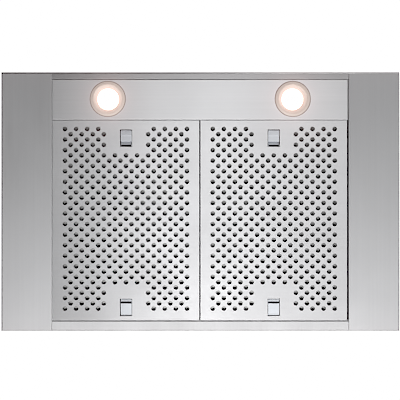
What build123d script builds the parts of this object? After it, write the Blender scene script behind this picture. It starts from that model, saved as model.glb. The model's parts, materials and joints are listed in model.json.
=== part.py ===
from build123d import *

import os
from math import hypot

# Wall-mounted chimney range hood, in millimetres.
# X is right as seen from the front, -Y is the front, the wall is the plane Y = 0, and Z is up.
# The origin is the centre of the four wall holes in the canopy's back panel.

# Overall form
WIDTH = 762.0
DEPTH = 495.0
BAND_HEIGHT = 60.0
SLOPE_HEIGHT = 170.0
CHIMNEY_WIDTH = 300.0
CHIMNEY_DEPTH = 270.0
LOWER_COVER_HEIGHT = 520.0
UPPER_COVER_HEIGHT = 480.0
UPPER_COVER_SHOWING = 60.0
WALL_HOLES_UP = 130.0

# Sheet metal
CANOPY_SHEET = 1.2
COVER_SHEET = 0.8
FRAME_SHEET = 1.5
BEND_RADIUS = 1.6
TIGHT_BEND_RADIUS = 0.4
SLOPE_BEND_RADIUS = 4.0
FLANGE_BEND_RADIUS = 3.0
TOP_FLANGE = 16.0
FRONT_HEM = 2.8
FRONT_HEM_RADIUS = 2.5
SIDE_HEM = 1.8

# General clearances
SEAM = 0.2
FIT = 0.3
OVERRUN = 5.0

# Wall holes in the back panel
WALL_HOLE_RADIUS = 4.0
WALL_HOLES_ACROSS = 280.0
WALL_HOLES_HIGH = 80.0

# Underside layout, measured from the front edge
SIDE_PANEL_WIDTH = 97.0
FRONT_STRIP_END = 12.9
LIGHT_PANEL_START = 13.7
LIGHT_PANEL_END = 91.1
FILTER_START = 91.9
FILTER_END = 474.2
REAR_STRIP_START = 476.0
INSERT_LEFT_GAP = 1.3
INSERT_WIDTH = 563.9
FILTER_GAP = 1.4
OUTER_UPSTAND = 14.0
OPENING_UPSTAND = 22.0
SIDE_UPSTAND = 24.0
JOG_START = 2.8
JOG_RISE = 3.0
SEAL_DEPTH_SHARE = 1.5

# Filters
FILTER_SHEET = 0.8
FILTER_HEIGHT = 18.0
FILTER_EDGE_FILLET = 0.6
HOLE_RADIUS = 4.3
HOLE_HALF_PITCH = 10.607
HOLE_ROW_PITCH = 10.11
HOLE_ROWS = 35
HOLE_COLUMNS = 23
LATCH_ROWS = 5
EVEN_ROW_BARE_COLUMNS = range(7, 16)
ODD_ROW_BARE_COLUMNS = range(8, 15)
FIRST_ROW_INSET = 16.6
BACK_SHEET_UP = 10.0
BACK_SHEET_FLANGE = 6.5
BACK_HOLE_SHIFT = 5.0

# Filter latches, with lengths from the window's outer end inwards
WINDOW_WIDTH = 23.1
WINDOW_LENGTH = 33.0
FRONT_WINDOW_INSET = 17.8
REAR_WINDOW_INSET = 7.8
LATCH_SHEET = 1.0
LATCH_SIDE_GAP = 0.8
LATCH_END_GAP = 0.8
GROOVE_OUTER_RUN = 4.6
GROOVE_TOP = 0.7
GROOVE_INNER_RUN = 3.8
GROOVE_HEIGHT = 8.5
LATCH_FOOT = 2.5
TONGUE_UP = 7.0
TONGUE_REACH = 4.4
LATCH_TRAVEL = 5.0
SLOT_SIDE_GAP = 0.8
SLOT_HEIGHT_GAP = 0.8
GUIDE_SHEET = 1.0
GUIDE_HEIGHT = 12.0
GUIDE_OUTER_END = 2.0
SPRING_RADIUS = 2.6
SPRING_WIRE = 0.6
SPRING_SEAT_WIDTH = 8.0
SPRING_SEAT_HEIGHT = 5.4
SPRING_SEAT_THICKNESS = 1.4
SPRING_SEAT_UP = 3.6

# Lamps
LAMP_ACROSS = 177.0
LAMP_FROM_FRONT = 51.2
TRIM_RADIUS = 35.0
TRIM_RIM_RADIUS = 32.2
TRIM_DROP = 1.6
TRIM_FLANGE = 0.9
TRIM_WALL = 1.1
LAMP_HOLE_RADIUS = 31.4
LAMP_CORE_RADIUS = 22.0
CONE_HEIGHT = 6.5
TRIM_TUBE_HEIGHT = 8.0
LENS_THICKNESS = 2.4
LENS_LIP = 1.2
BULB_NECK_RADIUS = 13.0
BULB_BOWL_HEIGHT = 24.0
BULB_NECK_HEIGHT = 12.0
HOLDER_RADIUS = 15.0
HOLDER_HEIGHT = 16.0
HOLDER_SOCKET_DEPTH = 6.0
CLIP_SHEET = 0.6
CLIP_WIDTH = 8.0
CLIP_REACH = 14.0
CLIP_RISE = 10.0

# Controls
BUTTON_PITCH = 28.0
BUTTON_RADIUS = 7.0
BUTTON_PROUD = 3.0
BUTTON_TRAVEL = 2.5
BUTTON_FLANGE = 1.2
BUTTON_FLANGE_RADIUS = 8.6
BUTTON_STEM_RADIUS = 2.5
BUTTON_STEM_REACH = 5.0
BUTTON_UP = 37.0
BUTTON_EDGE_FILLET = 0.8
BUTTON_NAMES = ("off", "speed_low", "speed_mid", "speed_high", "light")
CONTROL_HOUSING_WIDTH = 170.0
CONTROL_HOUSING_HEIGHT = 26.0
CONTROL_HOUSING_DEPTH = 26.0
CONTROL_HOUSING_WALL = 2.0
CONTROL_EAR = 12.0
BOARD_THICKNESS = 1.6
SWITCH_SIZE = 10.0

# Blower
SCROLL_START_RADIUS = 100.0
SCROLL_STEP = 10.0
SCROLL_SHEET = 1.0
SCROLL_WIDTH = 158.0
SCROLL_REAR_GAP = 14.0
SCROLL_GROUND = 9.0
OUTLET_RISE = 126.0
WHEEL_RADIUS = 84.0
WHEEL_WIDTH = 138.0
BLADE_DEPTH = 13.0
BLADE_SHEET = 1.0
BLADE_COUNT = 36
BLADE_LEAN = 28.0
WHEEL_DISC = 1.6
WHEEL_RING = 2.0
HUB_RADIUS = 13.0
HUB_LENGTH = 20.0
SHAFT_RADIUS = 4.0
SHAFT_FIT = 0.05
SHAFT_SIDE_GAP = 0.4
INLET_RADIUS = 70.0
INLET_MOUTH_RADIUS = 7.0
MOTOR_RADIUS = 46.0
MOTOR_LENGTH = 62.0
MOTOR_GAP = 5.0
MOTOR_EDGE = 4.0
ARM_WIDTH = 14.0
ARM_SHEET = 2.0
ARM_COUNT = 3
BRACKET_RING = 10.0
FOOT_WIDTH = 60.0
FOOT_LENGTH = 26.0
FOOT_UPSTAND = 34.0
BLOWER_BOX_SHEET = 1.0
BLOWER_BOX_GAP = 8.0
BLOWER_BOX_REAR_GAP = 2.0

# Outlet collar and damper
COLLAR_RADIUS = 75.0
COLLAR_SHEET = 1.2
COLLAR_HEIGHT = 60.0
COLLAR_PLATE = 1.5
COLLAR_LEDGE_RADIUS = 64.0
COLLAR_PLATE_LIP = 9.0
PIN_RADIUS = 1.5
KNUCKLE_RADIUS = 2.6
FLAP_SHEET = 0.8
FLAP_GAP = 1.2
KNUCKLE_GAP = 0.4
KNUCKLE_COUNT = 6

# Chimney fixings and electrical boxes
TOP_OPENING_WIDTH = 190.0
TOP_OPENING_DEPTH = 200.0
FIXING_STRIP_HEIGHT = 25.0
COVER_RETURN = 15.0
COVER_SLIDE_GAP = 0.5
UPPER_BRACKET_EAR = 28.0
UPPER_BRACKET_HEIGHT = 34.0
UPPER_BRACKET_DOWN = 12.0
VENT_COUNT = 9
VENT_WIDTH = 5.0
VENT_HEIGHT = 30.0
VENT_PITCH = 15.0
VENT_DOWN = 14.0
SCREW_RADIUS = 2.0
SCREW_HOLE_RADIUS = 2.3
SCREW_HEAD_RADIUS = 4.0
SCREW_HEAD_HEIGHT = 2.2
SCREW_LENGTH = 7.0
COVER_SCREW_INSET = 60.0
LIGHT_SCREW_ACROSS = 60.0
LIGHT_SCREW_OUT = 240.0
LIGHT_SCREW_UP = 15.0
TERMINAL_BOX_WIDTH = 44.0
TERMINAL_BOX_DEPTH = 78.0
TERMINAL_BOX_HEIGHT = 38.0
TERMINAL_BOX_WALL = 2.0
TERMINAL_BOX_FROM_WALL = 16.0
GLAND_RADIUS = 8.0
GLAND_BORE_RADIUS = 4.0
GLAND_LENGTH = 12.0
GLAND_NUT_RADIUS = 11.0
GLAND_NUT_LENGTH = 5.0
CAPACITOR_RADIUS = 15.0
CAPACITOR_HEIGHT = 58.0
CAPACITOR_FROM_WALL = 46.0
CAPACITOR_SIDE_GAP = 6.0
CAPACITOR_CAP = 2.0

# Levels and edges worked out from the sizes above
UNDERSIDE = -WALL_HOLES_UP
BAND_TOP = UNDERSIDE + BAND_HEIGHT
CANOPY_TOP = BAND_TOP + SLOPE_HEIGHT
FRAME_TOP = CANOPY_TOP + FRAME_SHEET
LOWER_COVER_TOP = CANOPY_TOP + LOWER_COVER_HEIGHT
UPPER_COVER_TOP = LOWER_COVER_TOP + UPPER_COVER_SHOWING
UPPER_COVER_BOTTOM = UPPER_COVER_TOP - UPPER_COVER_HEIGHT
FRONT = -DEPTH
SIDE = WIDTH / 2
OPENING_SIDE = SIDE - SIDE_PANEL_WIDTH
INSERT_LEFT = -OPENING_SIDE + INSERT_LEFT_GAP
INSERT_RIGHT = INSERT_LEFT + INSERT_WIDTH
FILTER_WIDTH = (INSERT_WIDTH - FILTER_GAP) / 2
FILTER_FRONT = FRONT + FILTER_START
FILTER_REAR = FRONT + FILTER_END
LIGHT_FRONT = FRONT + LIGHT_PANEL_START
LIGHT_REAR = FRONT + LIGHT_PANEL_END
RAIL_REAR = FRONT + FRONT_STRIP_END
REAR_STRIP_FRONT = FRONT + REAR_STRIP_START
BACK_FACE = -CANOPY_SHEET

# Slope of the side sheets, as run over rise
SIDE_SLOPE_RUN = (WIDTH - CHIMNEY_WIDTH) / 2
FRONT_SLOPE_RUN = DEPTH - CHIMNEY_DEPTH
SIDE_SLOPE_THICKNESS = CANOPY_SHEET * hypot(SIDE_SLOPE_RUN, SLOPE_HEIGHT) / SLOPE_HEIGHT

os.makedirs("parts", exist_ok=True)


def save(part, label):
    """Names a finished piece and writes it."""
    part.label = label
    export_step(part, f"parts/{label}.step")


def bent_strip(points, thickness, radius, side=Side.RIGHT):
    """Outline of a folded sheet's section, whose outer face follows the points."""
    with BuildLine() as section:
        FilletPolyline(*points, radius=radius)
        offset(amount=thickness, side=side, kind=Kind.INTERSECTION)
    return section.edges()


def side_name(side):
    """Name of the side on which X has this sign."""
    return "left" if side < 0 else "right"


def canopy_mitre(side):
    """Upright plane through a front corner of the canopy, facing the front piece."""
    return Plane(
        origin=(side * SIDE, FRONT, 0),
        z_dir=(-side * FRONT_SLOPE_RUN, -SIDE_SLOPE_RUN, 0),
    )


# Canopy: front, sides and back
def button_places():
    """Places of the buttons across the band."""
    middle = (len(BUTTON_NAMES) - 1) / 2
    return [(index - middle) * BUTTON_PITCH for index in range(len(BUTTON_NAMES))]


BUTTON_HOLE_RADIUS = BUTTON_RADIUS + FIT
BUTTON_LEVEL = UNDERSIDE + BUTTON_UP

with BuildPart() as canopy_front:
    with BuildSketch(Plane.YZ):
        make_face(
            bent_strip(
                [
                    (FRONT + FRONT_HEM, UNDERSIDE),
                    (FRONT, UNDERSIDE),
                    (FRONT, BAND_TOP),
                    (-CHIMNEY_DEPTH, CANOPY_TOP),
                    (-CHIMNEY_DEPTH + TOP_FLANGE, CANOPY_TOP),
                ],
                CANOPY_SHEET,
                [FRONT_HEM_RADIUS, SLOPE_BEND_RADIUS, FLANGE_BEND_RADIUS],
            )
        )
    extrude(amount=SIDE, both=True)
    for side in (-1, 1):
        split(bisect_by=canopy_mitre(side), keep=Keep.TOP)
    with BuildSketch(Plane.XZ.offset(DEPTH)):
        with Locations(*[(x, BUTTON_LEVEL) for x in button_places()]):
            Circle(BUTTON_HOLE_RADIUS)
    extrude(amount=CANOPY_SHEET, both=True, mode=Mode.SUBTRACT)
save(canopy_front.part, "canopy_front")


def canopy_side(side):
    """Side sheet of the canopy, mitred to the front sheet."""
    with BuildPart() as sheet:
        with BuildSketch(Plane.XZ):
            make_face(
                bent_strip(
                    [
                        (side * (SIDE - SIDE_HEM), UNDERSIDE),
                        (side * SIDE, UNDERSIDE),
                        (side * SIDE, BAND_TOP),
                        (side * CHIMNEY_WIDTH / 2, CANOPY_TOP),
                        (side * (CHIMNEY_WIDTH / 2 - TOP_FLANGE), CANOPY_TOP),
                    ],
                    CANOPY_SHEET,
                    [BEND_RADIUS, SLOPE_BEND_RADIUS, FLANGE_BEND_RADIUS],
                    Side.RIGHT if side < 0 else Side.LEFT,
                )
            )
        extrude(amount=DEPTH)
        split(bisect_by=canopy_mitre(side), keep=Keep.BOTTOM)
    return sheet.part


for side in (-1, 1):
    save(canopy_side(side), f"canopy_{side_name(side)}")

BACK_HALF_WIDTH = SIDE - SIDE_HEM - SEAM
BACK_TOP_HALF_WIDTH = CHIMNEY_WIDTH / 2 - SIDE_SLOPE_THICKNESS - SEAM
BACK_TOP = CANOPY_TOP - CANOPY_SHEET - SEAM

with BuildPart() as canopy_back:
    with BuildSketch(Plane.XZ):
        with BuildLine():
            Polyline(
                (-BACK_HALF_WIDTH, UNDERSIDE),
                (-BACK_HALF_WIDTH, BAND_TOP - 2 * SLOPE_BEND_RADIUS),
                (-BACK_TOP_HALF_WIDTH, BACK_TOP),
                (BACK_TOP_HALF_WIDTH, BACK_TOP),
                (BACK_HALF_WIDTH, BAND_TOP - 2 * SLOPE_BEND_RADIUS),
                (BACK_HALF_WIDTH, UNDERSIDE),
                close=True,
            )
        make_face()
        with GridLocations(WALL_HOLES_ACROSS, WALL_HOLES_HIGH, 2, 2):
            Circle(WALL_HOLE_RADIUS, mode=Mode.SUBTRACT)
    extrude(amount=CANOPY_SHEET)
save(canopy_back.part, "canopy_back")

# Edges of the top frame, which lies on the canopy's top flanges inside the lower cover
COVER_INNER_SIDE = CHIMNEY_WIDTH / 2 - COVER_SHEET
COVER_INNER_FRONT = -CHIMNEY_DEPTH + COVER_SHEET
FRAME_SIDE = COVER_INNER_SIDE - FIT
FRAME_FRONT = COVER_INNER_FRONT + FIT
FRAME_REAR = -COVER_SHEET - FIT
FRAME_MIDDLE = (FRAME_FRONT + FRAME_REAR) / 2
FOOT_INNER = SCROLL_WIDTH / 2 + SCROLL_SHEET
FOOT_OUTER = FOOT_INNER + FOOT_LENGTH

# Underside: side panels, front and rear rails
PANEL_FRONT = FRONT + FRONT_HEM + SEAM
PANEL_REAR = BACK_FACE - SEAM
INSERT_EDGES = {-1: INSERT_LEFT, 1: INSERT_RIGHT}
SEAL_REARS = {-1: FILTER_REAR, 1: LIGHT_REAR}


def seal_width(edge, insert):
    """Width of the strip that closes the gap between an opening's edge and an insert."""
    return abs(insert - edge) - FIT


def seal_place(edge, insert):
    """Middle of that strip, which lies deeper above the underside in a wider gap."""
    towards = 1 if insert > edge else -1
    level = UNDERSIDE + SEAL_DEPTH_SHARE * abs(insert - edge) + CANOPY_SHEET / 2
    return edge + towards * seal_width(edge, insert) / 2, level


def bottom_side_panel(side):
    """Tray from the canopy's side to the opening, with an upstand on both edges."""
    outer = side * (SIDE - SIDE_HEM - SEAM)
    inner = side * OPENING_SIDE
    insert = INSERT_EDGES[side]
    with BuildPart() as tray:
        with BuildSketch(Plane.XZ.offset(-PANEL_REAR)):
            make_face(
                bent_strip(
                    [
                        (outer, UNDERSIDE + OUTER_UPSTAND),
                        (outer, UNDERSIDE),
                        (inner, UNDERSIDE),
                        (inner, UNDERSIDE + SIDE_UPSTAND),
                    ],
                    CANOPY_SHEET,
                    [TIGHT_BEND_RADIUS, BEND_RADIUS],
                    Side.LEFT if side < 0 else Side.RIGHT,
                )
            )
        extrude(amount=PANEL_REAR - PANEL_FRONT)
        with BuildSketch(Plane.XZ.offset(-SEAL_REARS[side])):
            with Locations(seal_place(inner, insert)):
                Rectangle(seal_width(inner, insert), CANOPY_SHEET)
        extrude(amount=SEAL_REARS[side] - LIGHT_FRONT)
    return tray.part


for side in (-1, 1):
    save(bottom_side_panel(side), f"bottom_{side_name(side)}_panel")

RAIL_HALF_WIDTH = OPENING_SIDE - SEAM

LIGHT_SCREW_LEVEL = UNDERSIDE + LIGHT_SCREW_UP
LIGHT_SCREW_PLACES = [
    (side * across, LIGHT_SCREW_LEVEL)
    for side in (-1, 1)
    for across in (LIGHT_SCREW_ACROSS, LIGHT_SCREW_OUT)
]


with BuildSketch(Plane.XZ.offset(-LIGHT_FRONT)) as light_screw_holes:
    with Locations(*LIGHT_SCREW_PLACES):
        Circle(SCREW_HOLE_RADIUS)


with BuildPart() as bottom_front_rail:
    with BuildSketch(Plane.YZ):
        make_face(
            bent_strip(
                [
                    (PANEL_FRONT, UNDERSIDE + OUTER_UPSTAND),
                    (PANEL_FRONT, UNDERSIDE),
                    (RAIL_REAR, UNDERSIDE),
                    (RAIL_REAR, UNDERSIDE + JOG_START),
                    (LIGHT_FRONT, UNDERSIDE + JOG_START + JOG_RISE),
                    (LIGHT_FRONT, UNDERSIDE + OPENING_UPSTAND),
                ],
                CANOPY_SHEET,
                [TIGHT_BEND_RADIUS, BEND_RADIUS, BEND_RADIUS / 2, BEND_RADIUS / 2],
                Side.LEFT,
            )
        )
    extrude(amount=RAIL_HALF_WIDTH, both=True)
    extrude(light_screw_holes.sketch, amount=OVERRUN, both=True, mode=Mode.SUBTRACT)
save(bottom_front_rail.part, "bottom_front_rail")

# Filter positions and the places of the latches on them
FILTER_LEFT_EDGES = {-1: INSERT_LEFT, 1: INSERT_RIGHT - FILTER_WIDTH}
FILTER_MIDDLE = {side: edge + FILTER_WIDTH / 2 for side, edge in FILTER_LEFT_EDGES.items()}
FILTER_CENTRE_Y = (FILTER_FRONT + FILTER_REAR) / 2
LATCH_WIDTH = WINDOW_WIDTH - 2 * LATCH_SIDE_GAP
SLOT_WIDTH = LATCH_WIDTH + 2 * SLOT_SIDE_GAP
SLOT_HEIGHT = LATCH_SHEET + 2 * SLOT_HEIGHT_GAP
SLOT_LEVEL = UNDERSIDE + TONGUE_UP + LATCH_SHEET / 2


def tongue_slots(y, middles):
    """Openings for the latch tongues in a wall at this place, one at each filter's middle."""
    with BuildSketch(Plane.XZ.offset(-y)) as slots:
        with Locations(*[(x, SLOT_LEVEL) for x in middles]):
            Rectangle(SLOT_WIDTH, SLOT_HEIGHT)
    return slots.sketch


with BuildPart() as bottom_rear_rail:
    with BuildSketch(Plane.YZ):
        make_face(
            bent_strip(
                [
                    (PANEL_REAR, UNDERSIDE + OPENING_UPSTAND),
                    (PANEL_REAR, UNDERSIDE),
                    (REAR_STRIP_FRONT, UNDERSIDE),
                    (REAR_STRIP_FRONT, UNDERSIDE + OPENING_UPSTAND),
                ],
                CANOPY_SHEET,
                [TIGHT_BEND_RADIUS, BEND_RADIUS],
            )
        )
        with Locations(seal_place(REAR_STRIP_FRONT, FILTER_REAR)):
            Rectangle(seal_width(REAR_STRIP_FRONT, FILTER_REAR), CANOPY_SHEET)
    extrude(amount=RAIL_HALF_WIDTH, both=True)
    extrude(
        tongue_slots(REAR_STRIP_FRONT, FILTER_MIDDLE.values()),
        amount=OVERRUN,
        both=True,
        mode=Mode.SUBTRACT,
    )
save(bottom_rear_rail.part, "bottom_rear_rail")

# Light panel across the front of the opening
LAMP_Y = FRONT + LAMP_FROM_FRONT
LAMP_PLACES = {side: (side * LAMP_ACROSS, LAMP_Y) for side in (-1, 1)}

with BuildPart() as light_panel:
    with BuildSketch(Plane.YZ.offset(INSERT_LEFT)):
        make_face(
            bent_strip(
                [
                    (LIGHT_FRONT, UNDERSIDE + OPENING_UPSTAND),
                    (LIGHT_FRONT, UNDERSIDE),
                    (LIGHT_REAR, UNDERSIDE),
                    (LIGHT_REAR, UNDERSIDE + OPENING_UPSTAND),
                ],
                CANOPY_SHEET,
                BEND_RADIUS,
                Side.LEFT,
            )
        )
    extrude(amount=INSERT_WIDTH)
    with BuildSketch(Plane.XY.offset(UNDERSIDE)):
        with Locations(*LAMP_PLACES.values()):
            Circle(LAMP_HOLE_RADIUS)
    extrude(amount=OVERRUN, mode=Mode.SUBTRACT)
    extrude(
        tongue_slots(LIGHT_REAR, FILTER_MIDDLE.values()),
        amount=OVERRUN,
        both=True,
        mode=Mode.SUBTRACT,
    )
    extrude(light_screw_holes.sketch, amount=OVERRUN, both=True, mode=Mode.SUBTRACT)
save(light_panel.part, "light_panel")


# Filters: perforated face, staggered back sheet and the guides of the latches
def hole_places():
    """Places of the face's holes, from the filter's centre line and front edge."""
    middle = (HOLE_COLUMNS - 1) / 2
    places = []
    for row in range(HOLE_ROWS):
        even = row % 2 == 0
        latch_row = row < LATCH_ROWS or row >= HOLE_ROWS - LATCH_ROWS
        bare = EVEN_ROW_BARE_COLUMNS if even else ODD_ROW_BARE_COLUMNS
        for column in range(0 if even else 1, HOLE_COLUMNS, 2):
            if latch_row and column in bare:
                continue
            places.append(
                ((column - middle) * HOLE_HALF_PITCH, FIRST_ROW_INSET + row * HOLE_ROW_PITCH)
            )
    return places


WINDOW_INSETS = {"front": FRONT_WINDOW_INSET, "rear": REAR_WINDOW_INSET}
WINDOW_OUTER_END = {
    "front": FILTER_FRONT + FRONT_WINDOW_INSET,
    "rear": FILTER_REAR - REAR_WINDOW_INSET,
}
INWARD = {"front": 1, "rear": -1}
FACE_TOP = UNDERSIDE + FILTER_SHEET
GUIDE_WIDTH = WINDOW_WIDTH + 2 * GUIDE_SHEET
SPRING_LENGTH = 2 * LATCH_TRAVEL
GUIDE_LENGTH = GUIDE_OUTER_END + WINDOW_LENGTH + SPRING_LENGTH + 2 * SEAM + GUIDE_SHEET


def along(end, distance):
    """Place at this distance inwards from the outer end of a latch window."""
    return WINDOW_OUTER_END[end] + INWARD[end] * distance


def holed_face(width, depth, middle_x, middle_y, level, holes, windows):
    """Flat face with its holes and windows, made in one go from their outlines."""
    plane = Plane((middle_x, middle_y, level))
    outline = Wire.make_rect(width, depth, plane)
    openings = [
        Wire.make_circle(HOLE_RADIUS, Plane((middle_x + x, FILTER_FRONT + y, level)))
        for x, y in holes
    ]
    openings += [
        Wire.make_rect(window_width, window_depth, Plane((middle_x, y, level)))
        for y, window_width, window_depth in windows
    ]
    return Face(outline, openings)


def filter_face(side):
    """Pan of a filter: perforated face with the latch windows, and upright walls."""
    middle = FILTER_MIDDLE[side]
    windows = [
        (along(end, WINDOW_LENGTH / 2), WINDOW_WIDTH, WINDOW_LENGTH) for end in WINDOW_INSETS
    ]
    depth = FILTER_REAR - FILTER_FRONT
    face = holed_face(
        FILTER_WIDTH, depth, middle, FILTER_CENTRE_Y, UNDERSIDE, hole_places(), windows
    )
    with BuildPart() as pan:
        extrude(face, amount=FILTER_SHEET, dir=(0, 0, 1))
        with BuildSketch(Plane.XY.offset(FACE_TOP)):
            with Locations((middle, FILTER_CENTRE_Y)):
                Rectangle(FILTER_WIDTH, depth)
                Rectangle(
                    FILTER_WIDTH - 2 * FILTER_SHEET, depth - 2 * FILTER_SHEET, mode=Mode.SUBTRACT
                )
        extrude(amount=FILTER_HEIGHT - FILTER_SHEET)
        for wall in (FILTER_FRONT, FILTER_REAR):
            slot = tongue_slots(wall, [middle])
            extrude(slot, amount=FILTER_SHEET, both=True, mode=Mode.SUBTRACT)
        outline = pan.faces().sort_by(Axis.Z)[0].outer_wire().edges()
        fillet(outline, FILTER_EDGE_FILLET)
    return pan.part


def filter_back(side):
    """Second perforated sheet, whose holes lie behind the bars of the face."""
    middle = FILTER_MIDDLE[side]
    gap = FILTER_SHEET + SEAM
    width = FILTER_WIDTH - 2 * gap
    depth = FILTER_REAR - FILTER_FRONT - 2 * gap
    level = UNDERSIDE + BACK_SHEET_UP
    notch_width = GUIDE_WIDTH + 2 * FIT
    notch_length = GUIDE_LENGTH + 2 * FIT
    windows = [
        (along(end, GUIDE_LENGTH / 2 - GUIDE_OUTER_END), notch_width, notch_length)
        for end in WINDOW_INSETS
    ]
    holes = [(x, y + BACK_HOLE_SHIFT) for x, y in hole_places()]
    face = holed_face(width, depth, middle, FILTER_CENTRE_Y, level, holes, windows)
    with BuildPart() as sheet:
        extrude(face, amount=FILTER_SHEET, dir=(0, 0, 1))
        with BuildSketch(Plane.XY.offset(level)):
            with Locations((middle, FILTER_CENTRE_Y)):
                Rectangle(width, depth)
                Rectangle(width - 2 * FILTER_SHEET, depth - 2 * FILTER_SHEET, mode=Mode.SUBTRACT)
        extrude(amount=BACK_SHEET_FLANGE)
    return sheet.part


def latch_guides(side):
    """The two housings on a filter's face that guide its latches."""
    middle = FILTER_MIDDLE[side]
    with BuildPart() as guides:
        for end in WINDOW_INSETS:
            centre = along(end, GUIDE_LENGTH / 2 - GUIDE_OUTER_END)
            with BuildSketch(Plane.XY.offset(FACE_TOP)):
                with Locations((middle, centre)):
                    Rectangle(GUIDE_WIDTH, GUIDE_LENGTH)
            extrude(amount=GUIDE_HEIGHT)
            with BuildSketch(Plane.XY.offset(FACE_TOP)):
                with Locations((middle, centre)):
                    Rectangle(WINDOW_WIDTH, GUIDE_LENGTH - 2 * GUIDE_SHEET)
            extrude(amount=GUIDE_HEIGHT - GUIDE_SHEET, mode=Mode.SUBTRACT)
            slot = tongue_slots(along(end, -GUIDE_OUTER_END), [middle])
            extrude(slot, amount=GUIDE_SHEET, both=True, mode=Mode.SUBTRACT)
    return guides.part


LATCH_LEVEL = FACE_TOP + FIT
SPRING_LEVEL = LATCH_LEVEL + SPRING_SEAT_UP + SPRING_SEAT_HEIGHT / 2


def latch_slider(side, end):
    """Sprung latch: tongue, finger plate, finger groove and foot, folded from one strip."""
    middle = FILTER_MIDDLE[side]
    groove = WINDOW_LENGTH - GROOVE_OUTER_RUN - GROOVE_TOP - GROOVE_INNER_RUN
    tongue_level = UNDERSIDE + TONGUE_UP
    with BuildPart() as slider:
        with BuildSketch(Plane.YZ.offset(middle)):
            make_face(
                bent_strip(
                    [
                        (along(end, -WINDOW_INSETS[end] - TONGUE_REACH), tongue_level),
                        (along(end, LATCH_END_GAP), tongue_level),
                        (along(end, LATCH_END_GAP), LATCH_LEVEL),
                        (along(end, groove), LATCH_LEVEL),
                        (along(end, groove + GROOVE_OUTER_RUN), LATCH_LEVEL + GROOVE_HEIGHT),
                        (along(end, WINDOW_LENGTH - GROOVE_INNER_RUN), LATCH_LEVEL + GROOVE_HEIGHT),
                        (along(end, WINDOW_LENGTH), LATCH_LEVEL),
                        (along(end, WINDOW_LENGTH + LATCH_FOOT), LATCH_LEVEL),
                    ],
                    LATCH_SHEET,
                    LATCH_SHEET / 4,
                    Side.LEFT if end == "front" else Side.RIGHT,
                )
            )
        extrude(amount=LATCH_WIDTH / 2, both=True)
        with BuildSketch(Plane.XZ.offset(-along(end, WINDOW_LENGTH))):
            with Locations((middle, SPRING_LEVEL)):
                Rectangle(SPRING_SEAT_WIDTH, SPRING_SEAT_HEIGHT)
        extrude(amount=INWARD[end] * SPRING_SEAT_THICKNESS)
    return slider.part


def latch_spring(side, end):
    """Spring between a latch's seat and the inner end of its guide."""
    start = along(end, WINDOW_LENGTH + SEAM)
    with BuildPart() as spring:
        with BuildSketch(Plane.XZ.offset(-start)):
            with Locations((FILTER_MIDDLE[side], SPRING_LEVEL)):
                Circle(SPRING_RADIUS)
                Circle(SPRING_RADIUS - SPRING_WIRE, mode=Mode.SUBTRACT)
        extrude(amount=-INWARD[end] * SPRING_LENGTH)
    return spring.part


for side in (-1, 1):
    save(filter_face(side), f"filter_face_{side_name(side)}")
    save(filter_back(side), f"filter_back_{side_name(side)}")
    save(latch_guides(side), f"latch_guides_{side_name(side)}")
    for end in WINDOW_INSETS:
        save(latch_slider(side, end), f"latch_slider_{end}_{side_name(side)}")
        save(latch_spring(side, end), f"latch_spring_{end}_{side_name(side)}")

# Lamps: trim ring with its reflector cone, lens, bulb, holder and spring clips
CONE_TOP = UNDERSIDE + CONE_HEIGHT
TUBE_OUTER = LAMP_CORE_RADIUS + LENS_LIP + TRIM_WALL
TUBE_INNER = LAMP_CORE_RADIUS + LENS_LIP
TUBE_TOP = CONE_TOP + TRIM_WALL + TRIM_TUBE_HEIGHT
LENS_LEVEL = CONE_TOP + TRIM_WALL
BULB_LEVEL = LENS_LEVEL + LENS_THICKNESS + SEAM
BULB_RADIUS = TUBE_INNER - FIT
BULB_TOP = BULB_LEVEL + BULB_BOWL_HEIGHT + BULB_NECK_HEIGHT
PANEL_TOP = UNDERSIDE + CANOPY_SHEET


def turned(place, points):
    """Solid of revolution about a lamp's axis, from (radius, height) points."""
    with BuildPart() as body:
        with BuildSketch(Plane((*place, 0), x_dir=(1, 0, 0), z_dir=(0, -1, 0))):
            with BuildLine():
                Polyline(*points, close=True)
            make_face()
        revolve(axis=Axis((*place, 0), (0, 0, 1)))
    return body.part


def lamp_trim(place):
    """Ring under the panel, which turns in to a cone and a tube for the lens."""
    drop = UNDERSIDE - TRIM_DROP
    flange_top = UNDERSIDE
    return turned(
        place,
        [
            (TRIM_RADIUS, flange_top),
            (TRIM_RADIUS, flange_top - TRIM_FLANGE),
            (TRIM_RIM_RADIUS, drop),
            (LAMP_HOLE_RADIUS - TRIM_WALL, drop + TRIM_WALL / 2),
            (LAMP_CORE_RADIUS, CONE_TOP),
            (LAMP_CORE_RADIUS, LENS_LEVEL),
            (TUBE_INNER, LENS_LEVEL),
            (TUBE_INNER, TUBE_TOP),
            (TUBE_OUTER, TUBE_TOP),
            (TUBE_OUTER, CONE_TOP),
            (LAMP_HOLE_RADIUS - FIT, flange_top + TRIM_WALL / 2),
            (LAMP_HOLE_RADIUS - FIT, flange_top),
        ],
    )


def lamp_lens(place):
    """Frosted glass disc on the lip at the top of the cone."""
    with BuildPart() as lens:
        with BuildSketch(Plane((*place, LENS_LEVEL))):
            Circle(TUBE_INNER - SEAM)
        extrude(amount=LENS_THICKNESS)
    return lens.part


def lamp_bulb(place):
    """Reflector bulb above the lens, with its narrow base in the holder."""
    bowl_top = BULB_LEVEL + BULB_BOWL_HEIGHT
    return turned(
        place,
        [
            (0, BULB_LEVEL),
            (BULB_RADIUS, BULB_LEVEL),
            (BULB_RADIUS, TUBE_TOP),
            (BULB_NECK_RADIUS, bowl_top),
            (BULB_NECK_RADIUS, bowl_top + BULB_NECK_HEIGHT / 2),
            (BULB_NECK_RADIUS - LENS_LIP, BULB_TOP),
            (0, BULB_TOP),
        ],
    )


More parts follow.
